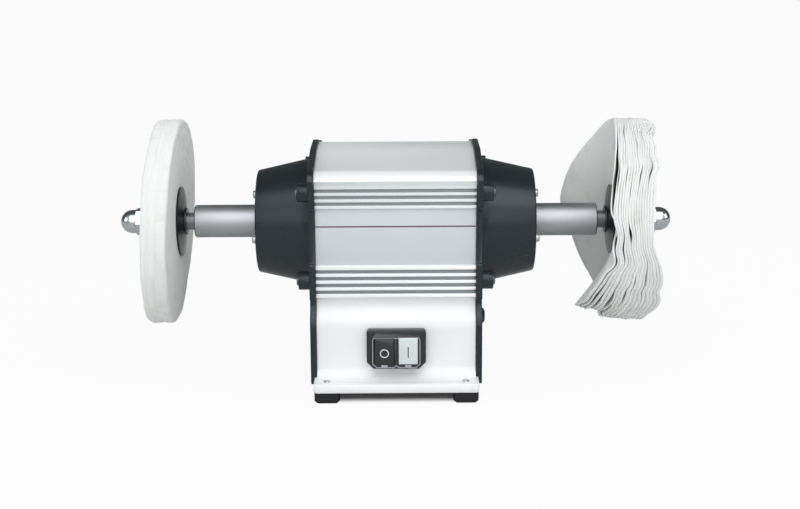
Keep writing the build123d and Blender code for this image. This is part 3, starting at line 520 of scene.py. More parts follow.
def coatFinish(name, look):
    material, tree, shader = startMaterial(name)
    patches = useGroup(tree, blotches, Scale=look.get("patchScale", 14.0), Low=0.2, High=0.85).outputs["Mask"]
    grime = useGroup(tree, settled, Scale=26.0, Amount=look.get("dust", 0.15)).outputs["Mask"]
    coat = blendColours(tree, patches, look["bright"], look["dark"])
    shade = blendColours(tree, grime, coat, look["dustColour"])
    tree.links.new(shade, shader.inputs["Base Color"])
    low, high = look["roughness"]
    spreadRoughness(tree, shader, patches, low, high)
    peel = useGroup(tree, pebble, Scale=look.get("peel", 500.0), Depth=1.0).outputs["Height"]
    addBump(tree, shader, peel, look.get("bump", 0.12), 0.08 * mm)
    shader.inputs["Specular IOR Level"].default_value = look.get("gloss", 0.5)
    shader.inputs["Specular Tint"].default_value = look.get("sheen", (1, 1, 1, 1))
    return material


def extrusionFinish(name, look):
    # satin anodised section: fine lines along its length, and painted shade that darkens it down in the grooves
    material, tree, shader = startMaterial(name)
    shader.inputs["Metallic"].default_value = look["metallic"]
    lines = useGroup(tree, streaks, Stretch=look["stretch"]).outputs["Mask"]
    patches = useGroup(tree, blotches, Scale=look["patchScale"], Low=0.3, High=0.75).outputs["Mask"]
    # painted shade: darker towards the floors of the grooves
    grooveShade = addNode(tree, "ShaderNodeAttribute", attribute_name="grooveShade")
    drawn = blendColours(tree, lines, look["dark"], look["bright"])
    even = blendColours(tree, patches, drawn, look["worn"])
    shade = blendColours(tree, grooveShade.outputs["Fac"], even, look["grooveShadeColour"])
    tree.links.new(shade, shader.inputs["Base Color"])
    low, high = look["roughness"]
    spreadRoughness(tree, shader, lines, low, high)
    addBump(tree, shader, lines, look["bump"], 0.05 * mm)
    return material


def cottonFinish(name, look):
    # a tone of its own for each ply, patches of use, and painted shade down between the plies
    material, tree, shader = startMaterial(name)
    weave = useGroup(tree, muslin, Threads=1300.0, Unevenness=1.5)
    used = useGroup(tree, blotches, Scale=60.0, Low=0.55, High=0.85).outputs["Mask"]
    tone = addNode(tree, "ShaderNodeAttribute", attribute_name="tone")
    # painted shade between the plies, from the gap attribute
    gap = addNode(tree, "ShaderNodeAttribute", attribute_name="gap")
    cloth = blendColours(tree, tone.outputs["Fac"], look["shade"], look["bright"])
    worn = blendColours(tree, used, cloth, look["used"])
    shade = blendColours(tree, gap.outputs["Fac"], worn, look["gap"])
    tree.links.new(shade, shader.inputs["Base Color"])
    spreadRoughness(tree, shader, weave.outputs["Mask"], 0.8, 1.0)
    addBump(tree, shader, weave.outputs["Height"], 0.3, 0.2 * mm)
    shader.inputs["Sheen Weight"].default_value = 0.2
    shader.inputs["Sheen Roughness"].default_value = 0.5
    shader.inputs["Specular IOR Level"].default_value = 0.2
    return material


lengthwise = (12.0, 1500.0, 1500.0)
turnedRound = (2600.0, 14.0, 14.0)
everyWay = (500.0, 500.0, 500.0)
metalLooks = {
    "tube": {
        "bright": tint(186, 189, 193), "dark": tint(166, 169, 173), "worn": tint(176, 178, 182),
        "stretch": turnedRound, "roughness": (0.44, 0.54), "bump": 0.2,
    },
    "shaft": {
        "bright": tint(150, 154, 158), "dark": tint(112, 116, 120), "worn": tint(125, 128, 132),
        "stretch": turnedRound, "roughness": (0.22, 0.4), "bump": 0.2,
    },
    "screw": {
        "bright": tint(214, 216, 218), "dark": tint(180, 183, 186), "worn": tint(196, 196, 190),
        "stretch": everyWay, "roughness": (0.24, 0.4),
    },
    "ring": {
        "bright": tint(200, 203, 207), "dark": tint(160, 164, 168), "worn": tint(180, 182, 184),
        "stretch": turnedRound, "roughness": (0.12, 0.25),
    },
    "flange": {
        "bright": tint(50, 54, 56), "dark": tint(32, 36, 38), "worn": tint(41, 44, 46),
        "stretch": turnedRound, "roughness": (0.24, 0.36), "metallic": 0.6, "bump": 0.2,
    },
    "nut": {
        "bright": tint(196, 200, 204), "dark": tint(178, 182, 187), "worn": tint(186, 190, 194),
        "stretch": turnedRound, "roughness": (0.08, 0.15), "bump": 0.04,
    },
    "lamination": {
        "bright": tint(132, 134, 138), "dark": tint(70, 72, 76), "worn": tint(104, 102, 98),
        "stretch": (3200.0, 20.0, 20.0), "roughness": (0.35, 0.6), "bump": 0.6,
    },
    "winding": {
        "bright": tint(196, 112, 58), "dark": tint(120, 58, 28), "worn": tint(150, 84, 44),
        "stretch": (900.0, 60.0, 60.0), "roughness": (0.22, 0.42), "bump": 0.8,
    },
    "rotor": {
        "bright": tint(148, 150, 154), "dark": tint(96, 98, 102), "worn": tint(120, 118, 114),
        "stretch": (3200.0, 20.0, 20.0), "roughness": (0.3, 0.5), "bump": 0.4,
    },
    "end_ring": {
        "bright": tint(206, 208, 212), "dark": tint(168, 170, 174), "worn": tint(190, 190, 190),
        "stretch": everyWay, "roughness": (0.4, 0.6), "bump": 0.4,
    },
    "cover": {
        "bright": tint(92, 94, 96), "dark": tint(62, 64, 66), "worn": tint(76, 74, 72),
        "stretch": everyWay, "roughness": (0.5, 0.72), "metallic": 0.8, "bump": 0.6,
    },
}
coatLooks = {
    "casting": {
        "bright": tint(31, 39, 42), "dark": tint(26, 32, 35), "dustColour": tint(70, 79, 84),
        "roughness": (0.22, 0.3), "peel": 420.0, "bump": 0.2, "dust": 0.08, "gloss": 0.46,
        "sheen": (0.8, 0.91, 1.0, 1),
    },
    "base": {
        "bright": tint(238, 240, 241), "dark": tint(233, 236, 238), "dustColour": tint(216, 217, 215),
        "roughness": (0.34, 0.46), "peel": 520.0, "bump": 0.14, "dust": 0.1,
    },
    "film": {
        "bright": tint(203, 209, 214), "dark": tint(199, 205, 212), "dustColour": tint(190, 194, 198),
        "roughness": (0.3, 0.4), "peel": 1200.0, "bump": 0.05, "dust": 0.05,
    },
    "stripe": {
        "bright": tint(92, 66, 80), "dark": tint(80, 58, 72), "dustColour": tint(120, 110, 116),
        "roughness": (0.35, 0.45), "peel": 1200.0, "bump": 0.05, "dust": 0.05,
    },
    # pale grey for the painted highlight round the switch frame, and for the tabs
    "highlightAndTabs": {
        "bright": tint(176, 182, 188), "dark": tint(160, 166, 172), "dustColour": tint(170, 172, 174),
        "roughness": (0.2, 0.3), "peel": 900.0, "bump": 0.08, "dust": 0.1,
    },
    "print": {
        "bright": tint(222, 226, 227), "dark": tint(210, 215, 217), "dustColour": tint(190, 192, 192),
        "roughness": (0.4, 0.5), "peel": 900.0, "bump": 0.05, "dust": 0.05,
    },
    "plate": {
        "bright": tint(60, 61, 63), "dark": tint(46, 47, 49), "dustColour": tint(96, 94, 90),
        "roughness": (0.45, 0.6), "bump": 0.2,
    },
    "foot": {
        "bright": tint(30, 30, 32), "dark": tint(20, 20, 22), "dustColour": tint(96, 95, 92),
        "roughness": (0.6, 0.78), "peel": 300.0, "bump": 0.35, "gloss": 0.35,
    },
    "black_plastic": {
        "bright": tint(38, 42, 45), "dark": tint(31, 35, 37), "dustColour": tint(84, 87, 90),
        "roughness": (0.18, 0.27), "peel": 700.0, "bump": 0.1, "dust": 0.08,
    },
    "grey_plastic": {
        "bright": tint(212, 218, 220), "dark": tint(205, 212, 214), "dustColour": tint(196, 197, 195),
        "roughness": (0.3, 0.4), "peel": 700.0, "bump": 0.1, "dust": 0.08,
    },
    "capacitor": {
        "bright": tint(226, 226, 222), "dark": tint(214, 214, 208), "dustColour": tint(180, 176, 168),
        "roughness": (0.2, 0.32), "bump": 0.05,
    },
    "terminal": {
        "bright": tint(212, 206, 186), "dark": tint(198, 190, 168), "dustColour": tint(160, 154, 140),
        "roughness": (0.4, 0.5), "bump": 0.1,
    },
}
# the grooves' colour below is painted shade for the floors of the grooves
extrusionLook = {
    "bright": tint(244, 247, 249), "dark": tint(236, 240, 243), "worn": tint(239, 242, 244),
    "grooveShadeColour": tint(142, 149, 152), "metallic": 0.12, "stretch": lengthwise, "patchScale": 9.0,
    "roughness": (0.26, 0.36), "bump": 0.1,
}
# the gap colour below is painted shade down between the plies
cottonLook = {
    "bright": tint(238, 240, 240), "shade": tint(226, 229, 228), "used": tint(216, 213, 206),
    "gap": tint(150, 141, 130),
}
finishes = {name: metalFinish(name, look) for name, look in metalLooks.items()}
finishes.update({name: coatFinish(name, look) for name, look in coatLooks.items()})
finishes["housing"] = extrusionFinish("housing", extrusionLook)
finishes["cotton"] = cottonFinish("cotton", cottonLook)

# every carried-over node takes the finish of its slot
for subpart in frame["record"]["subparts"]:
    node = nodes[subpart["node"]]
    node.data.materials.clear()
    node.data.materials.append(finishes[subpart["material_slot"]])


# Motor housing, end shields and base with the edges of the real ones
roundedPieces = [
    # node, piece, finish, body, slot, width, sharpest angle that stays
    ("end_shield_left", "shield_casting_left", "casting", "frame", "casting", 0.7 * mm, 45),
    ("end_shield_right", "shield_casting_right", "casting", "frame", "casting", 0.7 * mm, 45),
    ("base_shell", "painted_base", "base", "frame", "base", 0.7 * mm, 30),
    ("switch_bezel", "switch_cover", "black_plastic", "frame", "black_plastic", 0.5 * mm, 30),
    ("stop_button", "stop_key", "black_plastic", "stop_button", "black_plastic", 0.5 * mm, 30),
    ("start_button", "start_key", "grey_plastic", "start_button", "grey_plastic", 0.5 * mm, 30),
]
housingSection = {
    "round": 0.5 * mm,
    "panelTop": 28.3 * mm,       # all heights from the shaft
    "panelBottom": -26.7 * mm,
    "ribTop": (51.5 * mm, 83.8 * mm),
    "ribMiddle": 78.5 * mm,
    "lip": (-57 * mm, 80 * mm),
    "grooveDepth": 3 * mm,
}


def ribFace(height):
    # depth of the ribbed bands at a height
    if height > 0:
        top, depth = housingSection["ribTop"]
        share = (height - housingSection["panelTop"]) / (top - housingSection["panelTop"])
    else:
        low, depth = housingSection["lip"]
        share = (housingSection["panelBottom"] - height) / (housingSection["panelBottom"] - low)
    return housingSection["ribMiddle"] + share * (depth - housingSection["ribMiddle"])


# painted shade: how far down a groove a point lies, 0 on the ribs and 1 on the groove floor
def grooveShadeShare(point):
    height = point.z - shaftHeight
    upper = housingSection["panelTop"] < height < housingSection["ribTop"][0]
    lower = housingSection["lip"][0] < height < housingSection["panelBottom"]
    if not (upper or lower):
        return 0.0
    return min(1.0, max(0.0, (ribFace(height) - abs(point.y)) / housingSection["grooveDepth"]))


for node, piece, finish, body, slot, width, limit in roundedPieces:
    roundedCopy(node, piece, finishes[finish], body, width, limit)
housing = roundedCopy(
    "motor_housing", "ribbed_housing", finishes["housing"], "frame", housingSection["round"]
)
# painted shade for the grooves, stored on each point of the housing
grooveShade = housing.data.attributes.new("grooveShade", "FLOAT", "POINT")
for index, vert in enumerate(housing.data.vertices):
    grooveShade.data[index].value = grooveShadeShare(vert.co)
print("rounded pieces made")

# Film on the front panel with its stripe
panelFilm = {
    "depth": 76 * mm,
    "thickness": 0.25 * mm,
    "margin": 0.5 * mm,
    "stripeHeight": 10.9 * mm,
    "stripeWidth": 1.3 * mm,
    "stripeThickness": 0.06 * mm,
}


def makePanelFilm():
    margin, front = panelFilm["margin"], panelFilm["depth"] + panelFilm["thickness"]
    bm = bmesh.new()
    blockInto(
        bm,
        (housingLow.x + margin, -front, shaftHeight + housingSection["panelBottom"] + margin),
        (housingHigh.x - margin, -panelFilm["depth"], shaftHeight + housingSection["panelTop"] - margin),
        0.08 * mm,
    )
    finishPiece(bm, "panel_film", finishes["film"], "frame")
    middle, half = shaftHeight + panelFilm["stripeHeight"], panelFilm["stripeWidth"] / 2
    bm = bmesh.new()
    blockInto(
        bm,
        (housingLow.x + margin, -front - panelFilm["stripeThickness"], middle - half),
        (housingHigh.x - margin, -front, middle + half),
        0.02 * mm,
    )
    finishPiece(bm, "panel_stripe", finishes["stripe"], "frame")


makePanelFilm()
print("panel film made")

# Marks on the keys, a pale line round the switch frame that is a painted highlight on its edge, and two pale tabs
switchMarks = {
    "height": 0.12 * mm,
    "drop": 2 * mm,              # below the middle of the key
    "ringRadius": 3.8 * mm,
    "line": 0.9 * mm,
    "barLength": 10.6 * mm,
    "barRise": 1.2 * mm,         # above the ring's middle
}
switchHighlightAndTabs = {
    "frameHalf": 23 * mm,
    "frameTop": 2 * mm,          # in from the ends of the cover
    "corner": 3.5 * mm,
    "line": 0.7 * mm,
    "rise": 0.25 * mm,
    "inset": 0.7 * mm,
    "slopeDrop": 3.5 * mm,
    "notch": 1.4 * mm,
    "tab": (6 * mm, 2.6 * mm, 0.7 * mm),
    "tabLift": 0.6 * mm,
}


def makeKeyMarks():
    middle = (keyLow.z + keyHigh.z) / 2 - switchMarks["drop"]
    reach = (keyLow.x + keyHigh.x) / 2
    front = -keyLow.y
    bm = bmesh.new()
    circle = [
        (-reach + switchMarks["ringRadius"] * cos(2 * pi * step / 48),
         middle + switchMarks["ringRadius"] * sin(2 * pi * step / 48))
        for step in range(48)
    ]
    stripInto(bm, circle, switchMarks["line"], front - 0.02 * mm, switchMarks["height"])
    finishPiece(bm, "stop_mark", finishes["print"], "stop_button")
    bm = bmesh.new()
    half, line = switchMarks["barLength"] / 2, switchMarks["line"] / 2
    middle += switchMarks["barRise"]
    blockInto(
        bm, (reach - line, -front - switchMarks["height"], middle - half),
        (reach + line, -front + 0.02 * mm, middle + half), 0.02 * mm,
    )
    finishPiece(bm, "start_mark", finishes["black_plastic"], "start_button")


def makeSwitchHighlightAndTabs():
    # a pale line round the frame, drawn in below at the middle, which is a painted highlight where the frame's edge
    # catches light, and a pale tab under each key
    half = switchHighlightAndTabs["frameHalf"] - switchHighlightAndTabs["inset"]
    low = bezelLow.z + switchHighlightAndTabs["frameTop"] + switchHighlightAndTabs["inset"]
    high = bezelHigh.z - switchHighlightAndTabs["frameTop"] - switchHighlightAndTabs["slopeDrop"] - switchHighlightAndTabs["inset"]
    corner, notch = switchHighlightAndTabs["corner"], switchHighlightAndTabs["notch"]
    front = -bezelLow.y
    outline = [
        (-half + 0.3 * corner, high), (-half, high - 0.7 * corner), (-half, low + corner), (-half + corner, low),
        (-1.6 * notch, low), (0, low + 1.3 * notch), (1.6 * notch, low),
        (half - corner, low), (half, low + corner), (half, high - 0.7 * corner), (half - 0.3 * corner, high),
        (1.4 * notch, high), (0, high - 0.4 * notch), (-1.4 * notch, high),
    ]
    bm = bmesh.new()
    stripInto(bm, outline, switchHighlightAndTabs["line"], front - 0.02 * mm, switchHighlightAndTabs["rise"])
    length, height, depth = switchHighlightAndTabs["tab"]
    reach = (keyLow.x + keyHigh.x) / 2
    for side in (-1, 1):
        bottom = bezelLow.z + switchHighlightAndTabs["frameTop"] + switchHighlightAndTabs["tabLift"]
        blockInto(
            bm, (side * reach - length / 2, -front - depth, bottom),
            (side * reach + length / 2, -front + 0.05 * mm, bottom + height), 0.25 * mm,
        )
    finishPiece(bm, "switch_highlight_and_tabs", finishes["highlightAndTabs"], "frame")


makeKeyMarks()
makeSwitchHighlightAndTabs()
print("switch details made")

# Screws with sockets, each set in place of its plain one
screwLooks = {
    # seat radius and heights from the seat: head, its rise, socket, socket's floor, washer, shank
    "cover": {"head": 4.25, "rise": 4.2, "socket": 2.9, "floor": 2.4, "washer": (5.05, 1.0), "shank": (2.5, 37)},
    "shield": {"head": 5.0, "rise": 2.0, "socket": 2.9, "floor": 0.3, "washer": None, "shank": (3.0, 34.5)},
    "foot": {"head": 3.2, "rise": 1.4, "socket": 1.45, "floor": 0.4, "washer": None, "shank": (2.0, 17)},
}
screwPlaces = {
    "coverCircle": 26.5 * mm,
    "boss": (70 * mm, 42.5 * mm),
    "bossEnd": 92 * mm,
    "foot": (65.5 * mm, 97.5 * mm, 19.5 * mm),
}


def screwOutline(look):
    head, rise = look["head"] * mm, look["rise"] * mm
    shank, length = look["shank"][0] * mm, look["shank"][1] * mm
    start = 0
    outline = [(-length, 0, False), (-length, 0.8 * shank, False), (-length + 0.3 * shank, shank, False), (0, shank, False)]
    if look["washer"]:
        reach, start = look["washer"][0] * mm, look["washer"][1] * mm
        outline += [(0, reach, False), (0.12 * mm, reach + 0.1 * mm, False), (start, reach, False)]
    outline += [(start, 0.94 * head, False), (start + 0.12 * rise, head, False), (start + 0.3 * rise, head, False)]
    socket = look["socket"] * mm
    # the dome, then the rim of the socket, its wall and its floor
    for step in range(1, 7):
        share = step / 6
        radius = head + (socket * 1.12 - head) * share
        outline.append((start + rise * (0.3 + 0.7 * sin(share * pi / 2)), radius, False))
    outline += [
        (start + rise, socket * 1.05, True), (start + rise - 0.15 * mm, socket, True),
        (start + look["floor"] * mm + 0.1 * mm, socket, True), (start + look["floor"] * mm, 0.9 * socket, True),
        (start + look["floor"] * mm - 0.1 * mm, 0, False),
    ]
    return outline


def makeScrews():
    count = 0
    for side, sign in (("left", -1), ("right", 1)):
        bm = bmesh.new()
        for turn in (0, 120, 240):
            place = (
                sign * coneEnd, screwPlaces["coverCircle"] * sin(radians(turn)),
                shaftHeight + screwPlaces["coverCircle"] * cos(radians(turn)),
            )
            turnedInto(bm, screwOutline(screwLooks["cover"]), place, (sign, 0, 0), 36)
        finishPiece(bm, f"cover_bolts_{side}", finishes["screw"], "frame", [f"cover_screws_{side}"])
        bm = bmesh.new()
        depth, height = screwPlaces["boss"]
        for across, up in ((-1, -1), (-1, 1), (1, -1), (1, 1)):
            place = (sign * screwPlaces["bossEnd"], across * depth, shaftHeight + up * height)
            turnedInto(bm, screwOutline(screwLooks["shield"]), place, (sign, 0, 0), 36)
        finishPiece(bm, f"shield_bolts_{side}", finishes["shaft"], "frame", [f"shield_screws_{side}"])
        count += 7
    bm = bmesh.new()
    length, depth, height = screwPlaces["foot"]
    for across, back in ((-1, -1), (-1, 1), (1, -1), (1, 1)):
        turnedInto(bm, screwOutline(screwLooks["foot"]), (across * length, back * depth, height), (0, 0, 1), 30)
    finishPiece(bm, "foot_bolts", finishes["screw"], "frame", ["foot_screws"])
    return count + 4


print(makeScrews(), "screws made")

# Coil springs behind the keys, in place of the plain sleeves
coilSpring = {"wire": 0.4 * mm, "turns": 5, "stepsPerTurn": 20, "corners": 8, "keyTravel": 3 * mm}


def makeSprings():
    wire = coilSpring["wire"]
    steps = coilSpring["turns"] * coilSpring["stepsPerTurn"]
    for key in ("stop", "start"):
        low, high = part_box(f"{key}_spring")
        middle = (low + high) / 2
        length = high.y - low.y
        bm = bmesh.new()
        first = Vector((high.x - wire, low.y + wire, middle.z))
        bmesh.ops.create_circle(bm, segments=coilSpring["corners"], radius=wire, matrix=Matrix.Translation(first))
        bmesh.ops.spin(
            bm, geom=bm.verts[:] + bm.edges[:], cent=middle, axis=(0, 1, 0),
            dvec=(0, (length - 2 * wire) / steps, 0), angle=2 * pi * coilSpring["turns"], steps=steps,
        )
        bmesh.ops.holes_fill(bm, edges=bm.edges, sides=coilSpring["corners"])
        coil = finishPiece(bm, f"{key}_coil", finishes["screw"], "frame", [f"{key}_spring"])
        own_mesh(coil)


makeSprings()
print("springs made")

# Dark rings where the tubes enter the cones
tubeSeal = {"outline": [(-0.4, 0.0), (-0.4, 0.5), (1.5, 0.55), (2.1, 0.3), (2.2, 0.0)], "steps": 96}


def makeTubeSeals():
    outline = tubeSeal["outline"]
    steps = tubeSeal["steps"]
    for side, sign in (("left", -1), ("right", 1)):
        bm = bmesh.new()

        def place(column, row):
            along, rise = outline[column]
            angle = 2 * pi * row / steps
            radius = tubeRadius + (rise - 0.01) * mm
            return Vector((sign * (coneEnd + along * mm), radius * cos(angle), shaftHeight + radius * sin(angle)))

        rolledSheet(bm, len(outline), steps, place)
        finishPiece(bm, f"tube_seal_{side}", finishes["foot"], "frame")


makeTubeSeals()
print("tube seals made")


# Stitched buff on the left
stitchedBuff = {
    "steps": 288,
    "plies": 14,
    "rimRound": 4 * mm,
    "lean": 5 * mm,              # the top leans towards the motor, the bottom away from it
    "backBulge": 2 * mm,
    "rowSpacing": 10 * mm,
    "rowDepth": 0.7 * mm,
    "rowWidth": 1.6 * mm,
    "grooveDepth": 0.35 * mm,
    "stitchPitch": 6.5 * mm,
    "swell": 1.6 * mm,
}


def stitchedOutline():
    start, end = -buffStart, -buffEnd
    rim = stitchedBuff["rimRound"]
    rows = 34
    inner = flangeRadius - 8 * mm
    outline = []
    for step in range(rows):
        outline.append((start, inner + (buffRadius - rim - inner) * step / (rows - 1)))
    for step in range(1, 6):
        angle = pi / 2 * step / 6
        outline.append((start - rim * (1 - cos(angle)), buffRadius - rim * (1 - sin(angle))))
    treadPoints = stitchedBuff["plies"] * 3
    for step in range(treadPoints + 1):
        outline.append((start - rim + (end - start + 2 * rim) * step / treadPoints, buffRadius))
    for step in range(5, 0, -1):
        angle = pi / 2 * step / 6
        outline.append((end + rim * (1 - cos(angle)), buffRadius - rim * (1 - sin(angle))))
    for step in range(rows - 1, -1, -1):
        outline.append((end, inner + (buffRadius - rim - inner) * step / (rows - 1)))
    return outline


def stitchedPlace(x, radius, turn):
    # moves a point of the plain disc to its place on the worn one
    direction = Vector((0, -sin(radians(turn)), cos(radians(turn))))
    share = max(0, (radius - flangeRadius) / (buffRadius - flangeRadius))
    middle = -(buffStart + buffEnd) / 2
    side = max(-1, min(1, (x - middle) / ((buffEnd - buffStart) / 2)))
    # faces: swell outside the flanges, drawn in along the sewn rows, puckered between the stitches
    if share > 0:
        x += side * stitchedBuff["swell"] * sin(pi * min(1, share * 1.15)) ** 0.7 if share < 0.87 else 0
        rowPlace = (radius - flangeRadius - 6 * mm) / stitchedBuff["rowSpacing"]
        nearest = round(rowPlace)
        if 0 <= nearest <= 5:
            away = (rowPlace - nearest) * stitchedBuff["rowSpacing"] / stitchedBuff["rowWidth"]
            pucker = 0.75 + 0.25 * cos(radians(turn) * radius / stitchedBuff["stitchPitch"])
            x -= side * stitchedBuff["rowDepth"] * pucker * exp(-away * away)
        x += 0.9 * mm * share * noise.noise(direction * 2.6 + Vector((side * 3, 5, 1)))
        x += 0.3 * mm * share * noise.noise(direction * 9 + Vector((side * 7, 2, 4)))
    # tread: fine lines between the plies, which wander a little
    if radius > buffRadius - 0.1 * mm:
        wander = 0.16 * noise.noise(direction * 3.1 + Vector((0, 0, side)))
        ply = (side * 0.5 + 0.5 + wander * (1 - side * side)) * stitchedBuff["plies"]
        radius -= stitchedBuff["grooveDepth"] * (0.5 + 0.5 * cos(2 * pi * ply)) ** 2
        radius += 0.35 * mm * noise.noise(Vector((round(ply) * 2.7, 0, 0)) + direction * 4)
    radius += 0.5 * mm * share * noise.noise(direction * 1.7 + Vector((9, 0, side * 0.6)))
    x += stitchedBuff["lean"] * share * cos(radians(turn))
    x += stitchedBuff["backBulge"] * share * hump(turn, 300, 55)
    return Vector((x, direction.y * radius, direction.z * radius + shaftHeight))


def stitchedTone(x, radius, turn):
    # the plies differ a little where their cut edges show
    if radius < buffRadius - 0.1 * mm:
        return 0.6
    ply = round((-x - buffStart) / (buffEnd - buffStart) * stitchedBuff["plies"])
    return 0.6 + 0.7 * noise.noise(Vector((ply * 5.3, turn / 50, 2)))


def makeStitchedBuff():
    outline = stitchedOutline()
    steps = stitchedBuff["steps"]
    bm = bmesh.new()
    bm.verts.layers.float.new("tone")
    rolledSheet(
        bm, len(outline), steps, lambda column, row: stitchedPlace(*outline[column], 360 * row / steps),
        {"tone": lambda column, row: stitchedTone(*outline[column], 360 * row / steps)},
    )
    buff = finishPiece(bm, "stitched_buff", finishes["cotton"], "rotor", ["buff_left"])
    return buff


stitched = makeStitchedBuff()
print("stitched buff made")

# Loose buff on the right: plies that splay outside the flanges
looseBuff = {
    "plies": 17,
    "steps": 240,
    "spread": 1.1,
    "gap": 0.14 * mm,
    # how far the innermost and outermost rims lean, in mm, by degrees from the top towards the front
    "innerRim": [
        (0, 0), (33, -5.5), (52, -10), (68, -13.5), (78, -13.5), (87, -9.5), (95, -11.5), (103, -10), (110, -19),
        (125, -28), (139, -34.5), (152, -39), (162, -36), (172, -25), (185, -11), (200, -5), (215, -8),
        (232, -20), (245, -28), (268, -42), (286, -38), (300, -28), (317, -12), (334, -3), (350, 2),
    ],
    "outerRim": [
        (0, 9), (9, 14), (14, 12.5), (22, 6), (32, 8.5), (40, 7.5), (47, 9.5), (54, 6), (68, 3), (90, 2),
        (106, 10.5), (117, 14), (122, 12), (133, 15), (155, 7), (180, 4), (225, -2), (270, -12), (315, 0),
        (342, 7),
    ],
    "wander": (0.38, 0.16),      # unevenness of the plies, broad and fine
    # dark gaps between plies: (boundary, degrees, half angle, width)
    "slits": [
        (1, 54, 20, 3.4 * mm), (2, 54, 6, 1.1 * mm), (5, 52, 6, 0.7 * mm), (7, 62, 6, 0.6 * mm),
        (10, 53, 5, 1.2 * mm), (14, 50, 8, 1.5 * mm), (4, 94, 8, 1.3 * mm), (7, 86, 4, 2.4 * mm),
        (1, 104, 9, 1.6 * mm), (2, 128, 9, 1.8 * mm), (3, 138, 10, 2.2 * mm), (5, 134, 8, 3.2 * mm),
        (6, 144, 9, 2.4 * mm), (8, 128, 8, 1.8 * mm), (9, 116, 6, 1.2 * mm), (12, 114, 9, 1.7 * mm),
        (13, 138, 10, 1.0 * mm), (4, 20, 8, 0.8 * mm), (12, 24, 7, 0.7 * mm), (9, 30, 6, 0.6 * mm),
        (8, 200, 20, 2.5 * mm), (12, 230, 18, 2.0 * mm), (3, 250, 20, 2.0 * mm), (6, 285, 22, 2.5 * mm),
        (11, 300, 18, 2.2 * mm), (14, 330, 14, 1.6 * mm),
    ],
    # where the innermost ply is folded back: degrees, half angle, how far in and how far across
    "curl": (88, 5, 16 * mm, 8 * mm),
    # plies worn short: (first, last, degrees, half angle, depth)
    "short": [(0, 4, 172, 13, 7 * mm), (3, 5, 156, 6, 4 * mm), (13, 16, 150, 10, 1.5 * mm), (15, 16, 14, 8, 2 * mm)],
    "fray": 1.6 * mm,
}


def rimLean(which, turn):
    # a smooth line through the places given, all the way round
    knots = looseBuff[which]
    count = len(knots)
    turn %= 360
    here = max(index for index in range(count) if knots[index][0] <= turn)
    around = [
        (knots[index % count][0] + 360 * (index // count), knots[index % count][1])
        for index in range(here - 1, here + 3)
    ]
    (firstTurn, firstLean), (startTurn, startLean), (endTurn, endLean), (lastTurn, lastLean) = around
    length = endTurn - startTurn
    share = (turn - startTurn) / length
    leaving = (endLean - firstLean) / (endTurn - firstTurn) * length
    arriving = (lastLean - startLean) / (lastTurn - startTurn) * length
    square, cube = share ** 2, share ** 3
    lean = (2 * cube - 3 * square + 1) * startLean + (cube - 2 * square + share) * leaving
    return (lean + (3 * square - 2 * cube) * endLean + (cube - square) * arriving) * mm


def plyBoundaries(turn):
    # X of the boundaries between the plies at the rim, evenly uneven round the disc
    broad, fine = looseBuff["wander"]
    around = Vector((0, -sin(radians(turn)), cos(radians(turn))))
    widths = []
    for index in range(looseBuff["plies"]):
        wave = broad * noise.noise(around * 1.9 + Vector((index * 1.37, 0, 0)))
        ripple = fine * noise.noise(around * 5.0 + Vector((index * 2.11, 4, 0)))
        widths.append(exp(wave + ripple))
    inner, outer = buffStart + rimLean("innerRim", turn), buffEnd + rimLean("outerRim", turn)
    places = [inner]
    for width in widths:
        places.append(places[-1] + width / sum(widths) * (outer - inner))
    return places


def slitWidth(boundary, turn):
    width = looseBuff["gap"]
    for index, centre, halfAngle, opening in looseBuff["slits"]:
        if index == boundary:
            width += opening * hump(turn, centre, halfAngle)
    return width


def plyOutline():
    # one ply as a thin closed loop of (side, share of the way out, roundness at the tip)
    rings = 9
    loop = [(0, step / rings) for step in range(rings + 1)]
    loop += [(share, 1 + 0.0) for share in (0.2, 0.5, 0.8)]
    loop += [(1, step / rings) for step in range(rings, -1, -1)]
    return loop


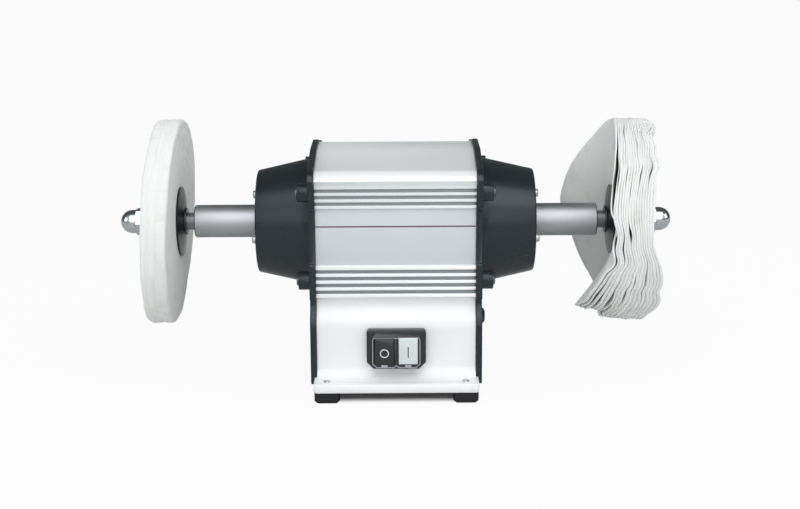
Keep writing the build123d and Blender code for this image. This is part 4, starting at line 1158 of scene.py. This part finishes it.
def plyPoint(ply, place, turn, rims):
    side, share = place
    root = flangeRadius - 6 * mm
    plies = looseBuff["plies"]
    angle = radians(turn)
    around = Vector((0, -sin(angle), cos(angle)))
    low = rims[ply] + slitWidth(ply, turn) / 2
    high = rims[ply + 1] - slitWidth(ply + 1, turn) / 2
    if high - low < 0.5 * mm:
        low, high = (low + high) / 2 - 0.25 * mm, (low + high) / 2 + 0.25 * mm
    rimX = low + side * (high - low)
    rootWidth = (buffEnd - buffStart) / plies
    rootX = buffStart + rootWidth * (ply + 0.1 + 0.8 * side)
    # a ply that leans reaches less far out, and some are worn short
    free = buffRadius - flangeRadius
    lean = min(0.8 * free, abs((low + high) / 2 - buffStart - rootWidth * (ply + 0.5)))
    tip = flangeRadius + (free ** 2 - lean ** 2) ** 0.5
    tip -= looseBuff["fray"] * (0.5 + 0.5 * noise.noise(around * 3 + Vector((ply * 3.3, 1, 0))))
    for first, last, centre, halfAngle, depth in looseBuff["short"]:
        if first <= ply <= last:
            tip -= depth * hump(turn, centre, halfAngle)
    if ply == 0:
        centre, halfAngle, inward, across = looseBuff["curl"]
        tip -= inward * hump(turn, centre, halfAngle)
        rimX += across * hump(turn, centre - halfAngle, halfAngle)
    radius = root + (tip - root) * share
    if share > 0.995:
        radius -= 0.35 * (high - low) * (abs(side - 0.5) * 2) ** 2.2
    out = max(0, (radius - flangeRadius) / (tip - flangeRadius)) ** looseBuff["spread"]
    x = rootX + (rimX - rootX) * out
    x += 0.6 * mm * out * noise.noise(around * 5 + Vector((ply * 0.2, 0, radius * 30)))
    return Vector((x, around.y * radius, around.z * radius + shaftHeight))


def plyTone(ply, turn):
    return 0.55 + 0.9 * noise.noise(Vector((ply * 4.7, turn / 40, 7)))


def plyShadeBetween(ply, place):
    # painted shade: how far down between the plies, not on the two faces of the buff
    side, share = place
    if (ply == 0 and side < 0.5) or (ply == looseBuff["plies"] - 1 and side > 0.5):
        return 0
    return min(1, max(0, (1 - share) * 5))


def makeLooseBuff():
    steps = looseBuff["steps"]
    boundaries = [plyBoundaries(360 * step / steps) for step in range(steps)]
    loop = plyOutline()
    bm = bmesh.new()
    bm.verts.layers.float.new("tone")
    # the gap layer holds painted shade down between the plies
    bm.verts.layers.float.new("gap")
    for ply in range(looseBuff["plies"]):
        rolledSheet(
            bm, len(loop), steps,
            lambda column, row: plyPoint(ply, loop[column], 360 * row / steps, boundaries[row]),
            {
                "tone": lambda column, row: plyTone(ply, 360 * row / steps),
                "gap": lambda column, row: plyShadeBetween(ply, loop[column]),
            },
        )
    buff = finishPiece(bm, "loose_buff", finishes["cotton"], "rotor", ["buff_right"])
    return buff


loose = makeLooseBuff()
print("loose buff made")
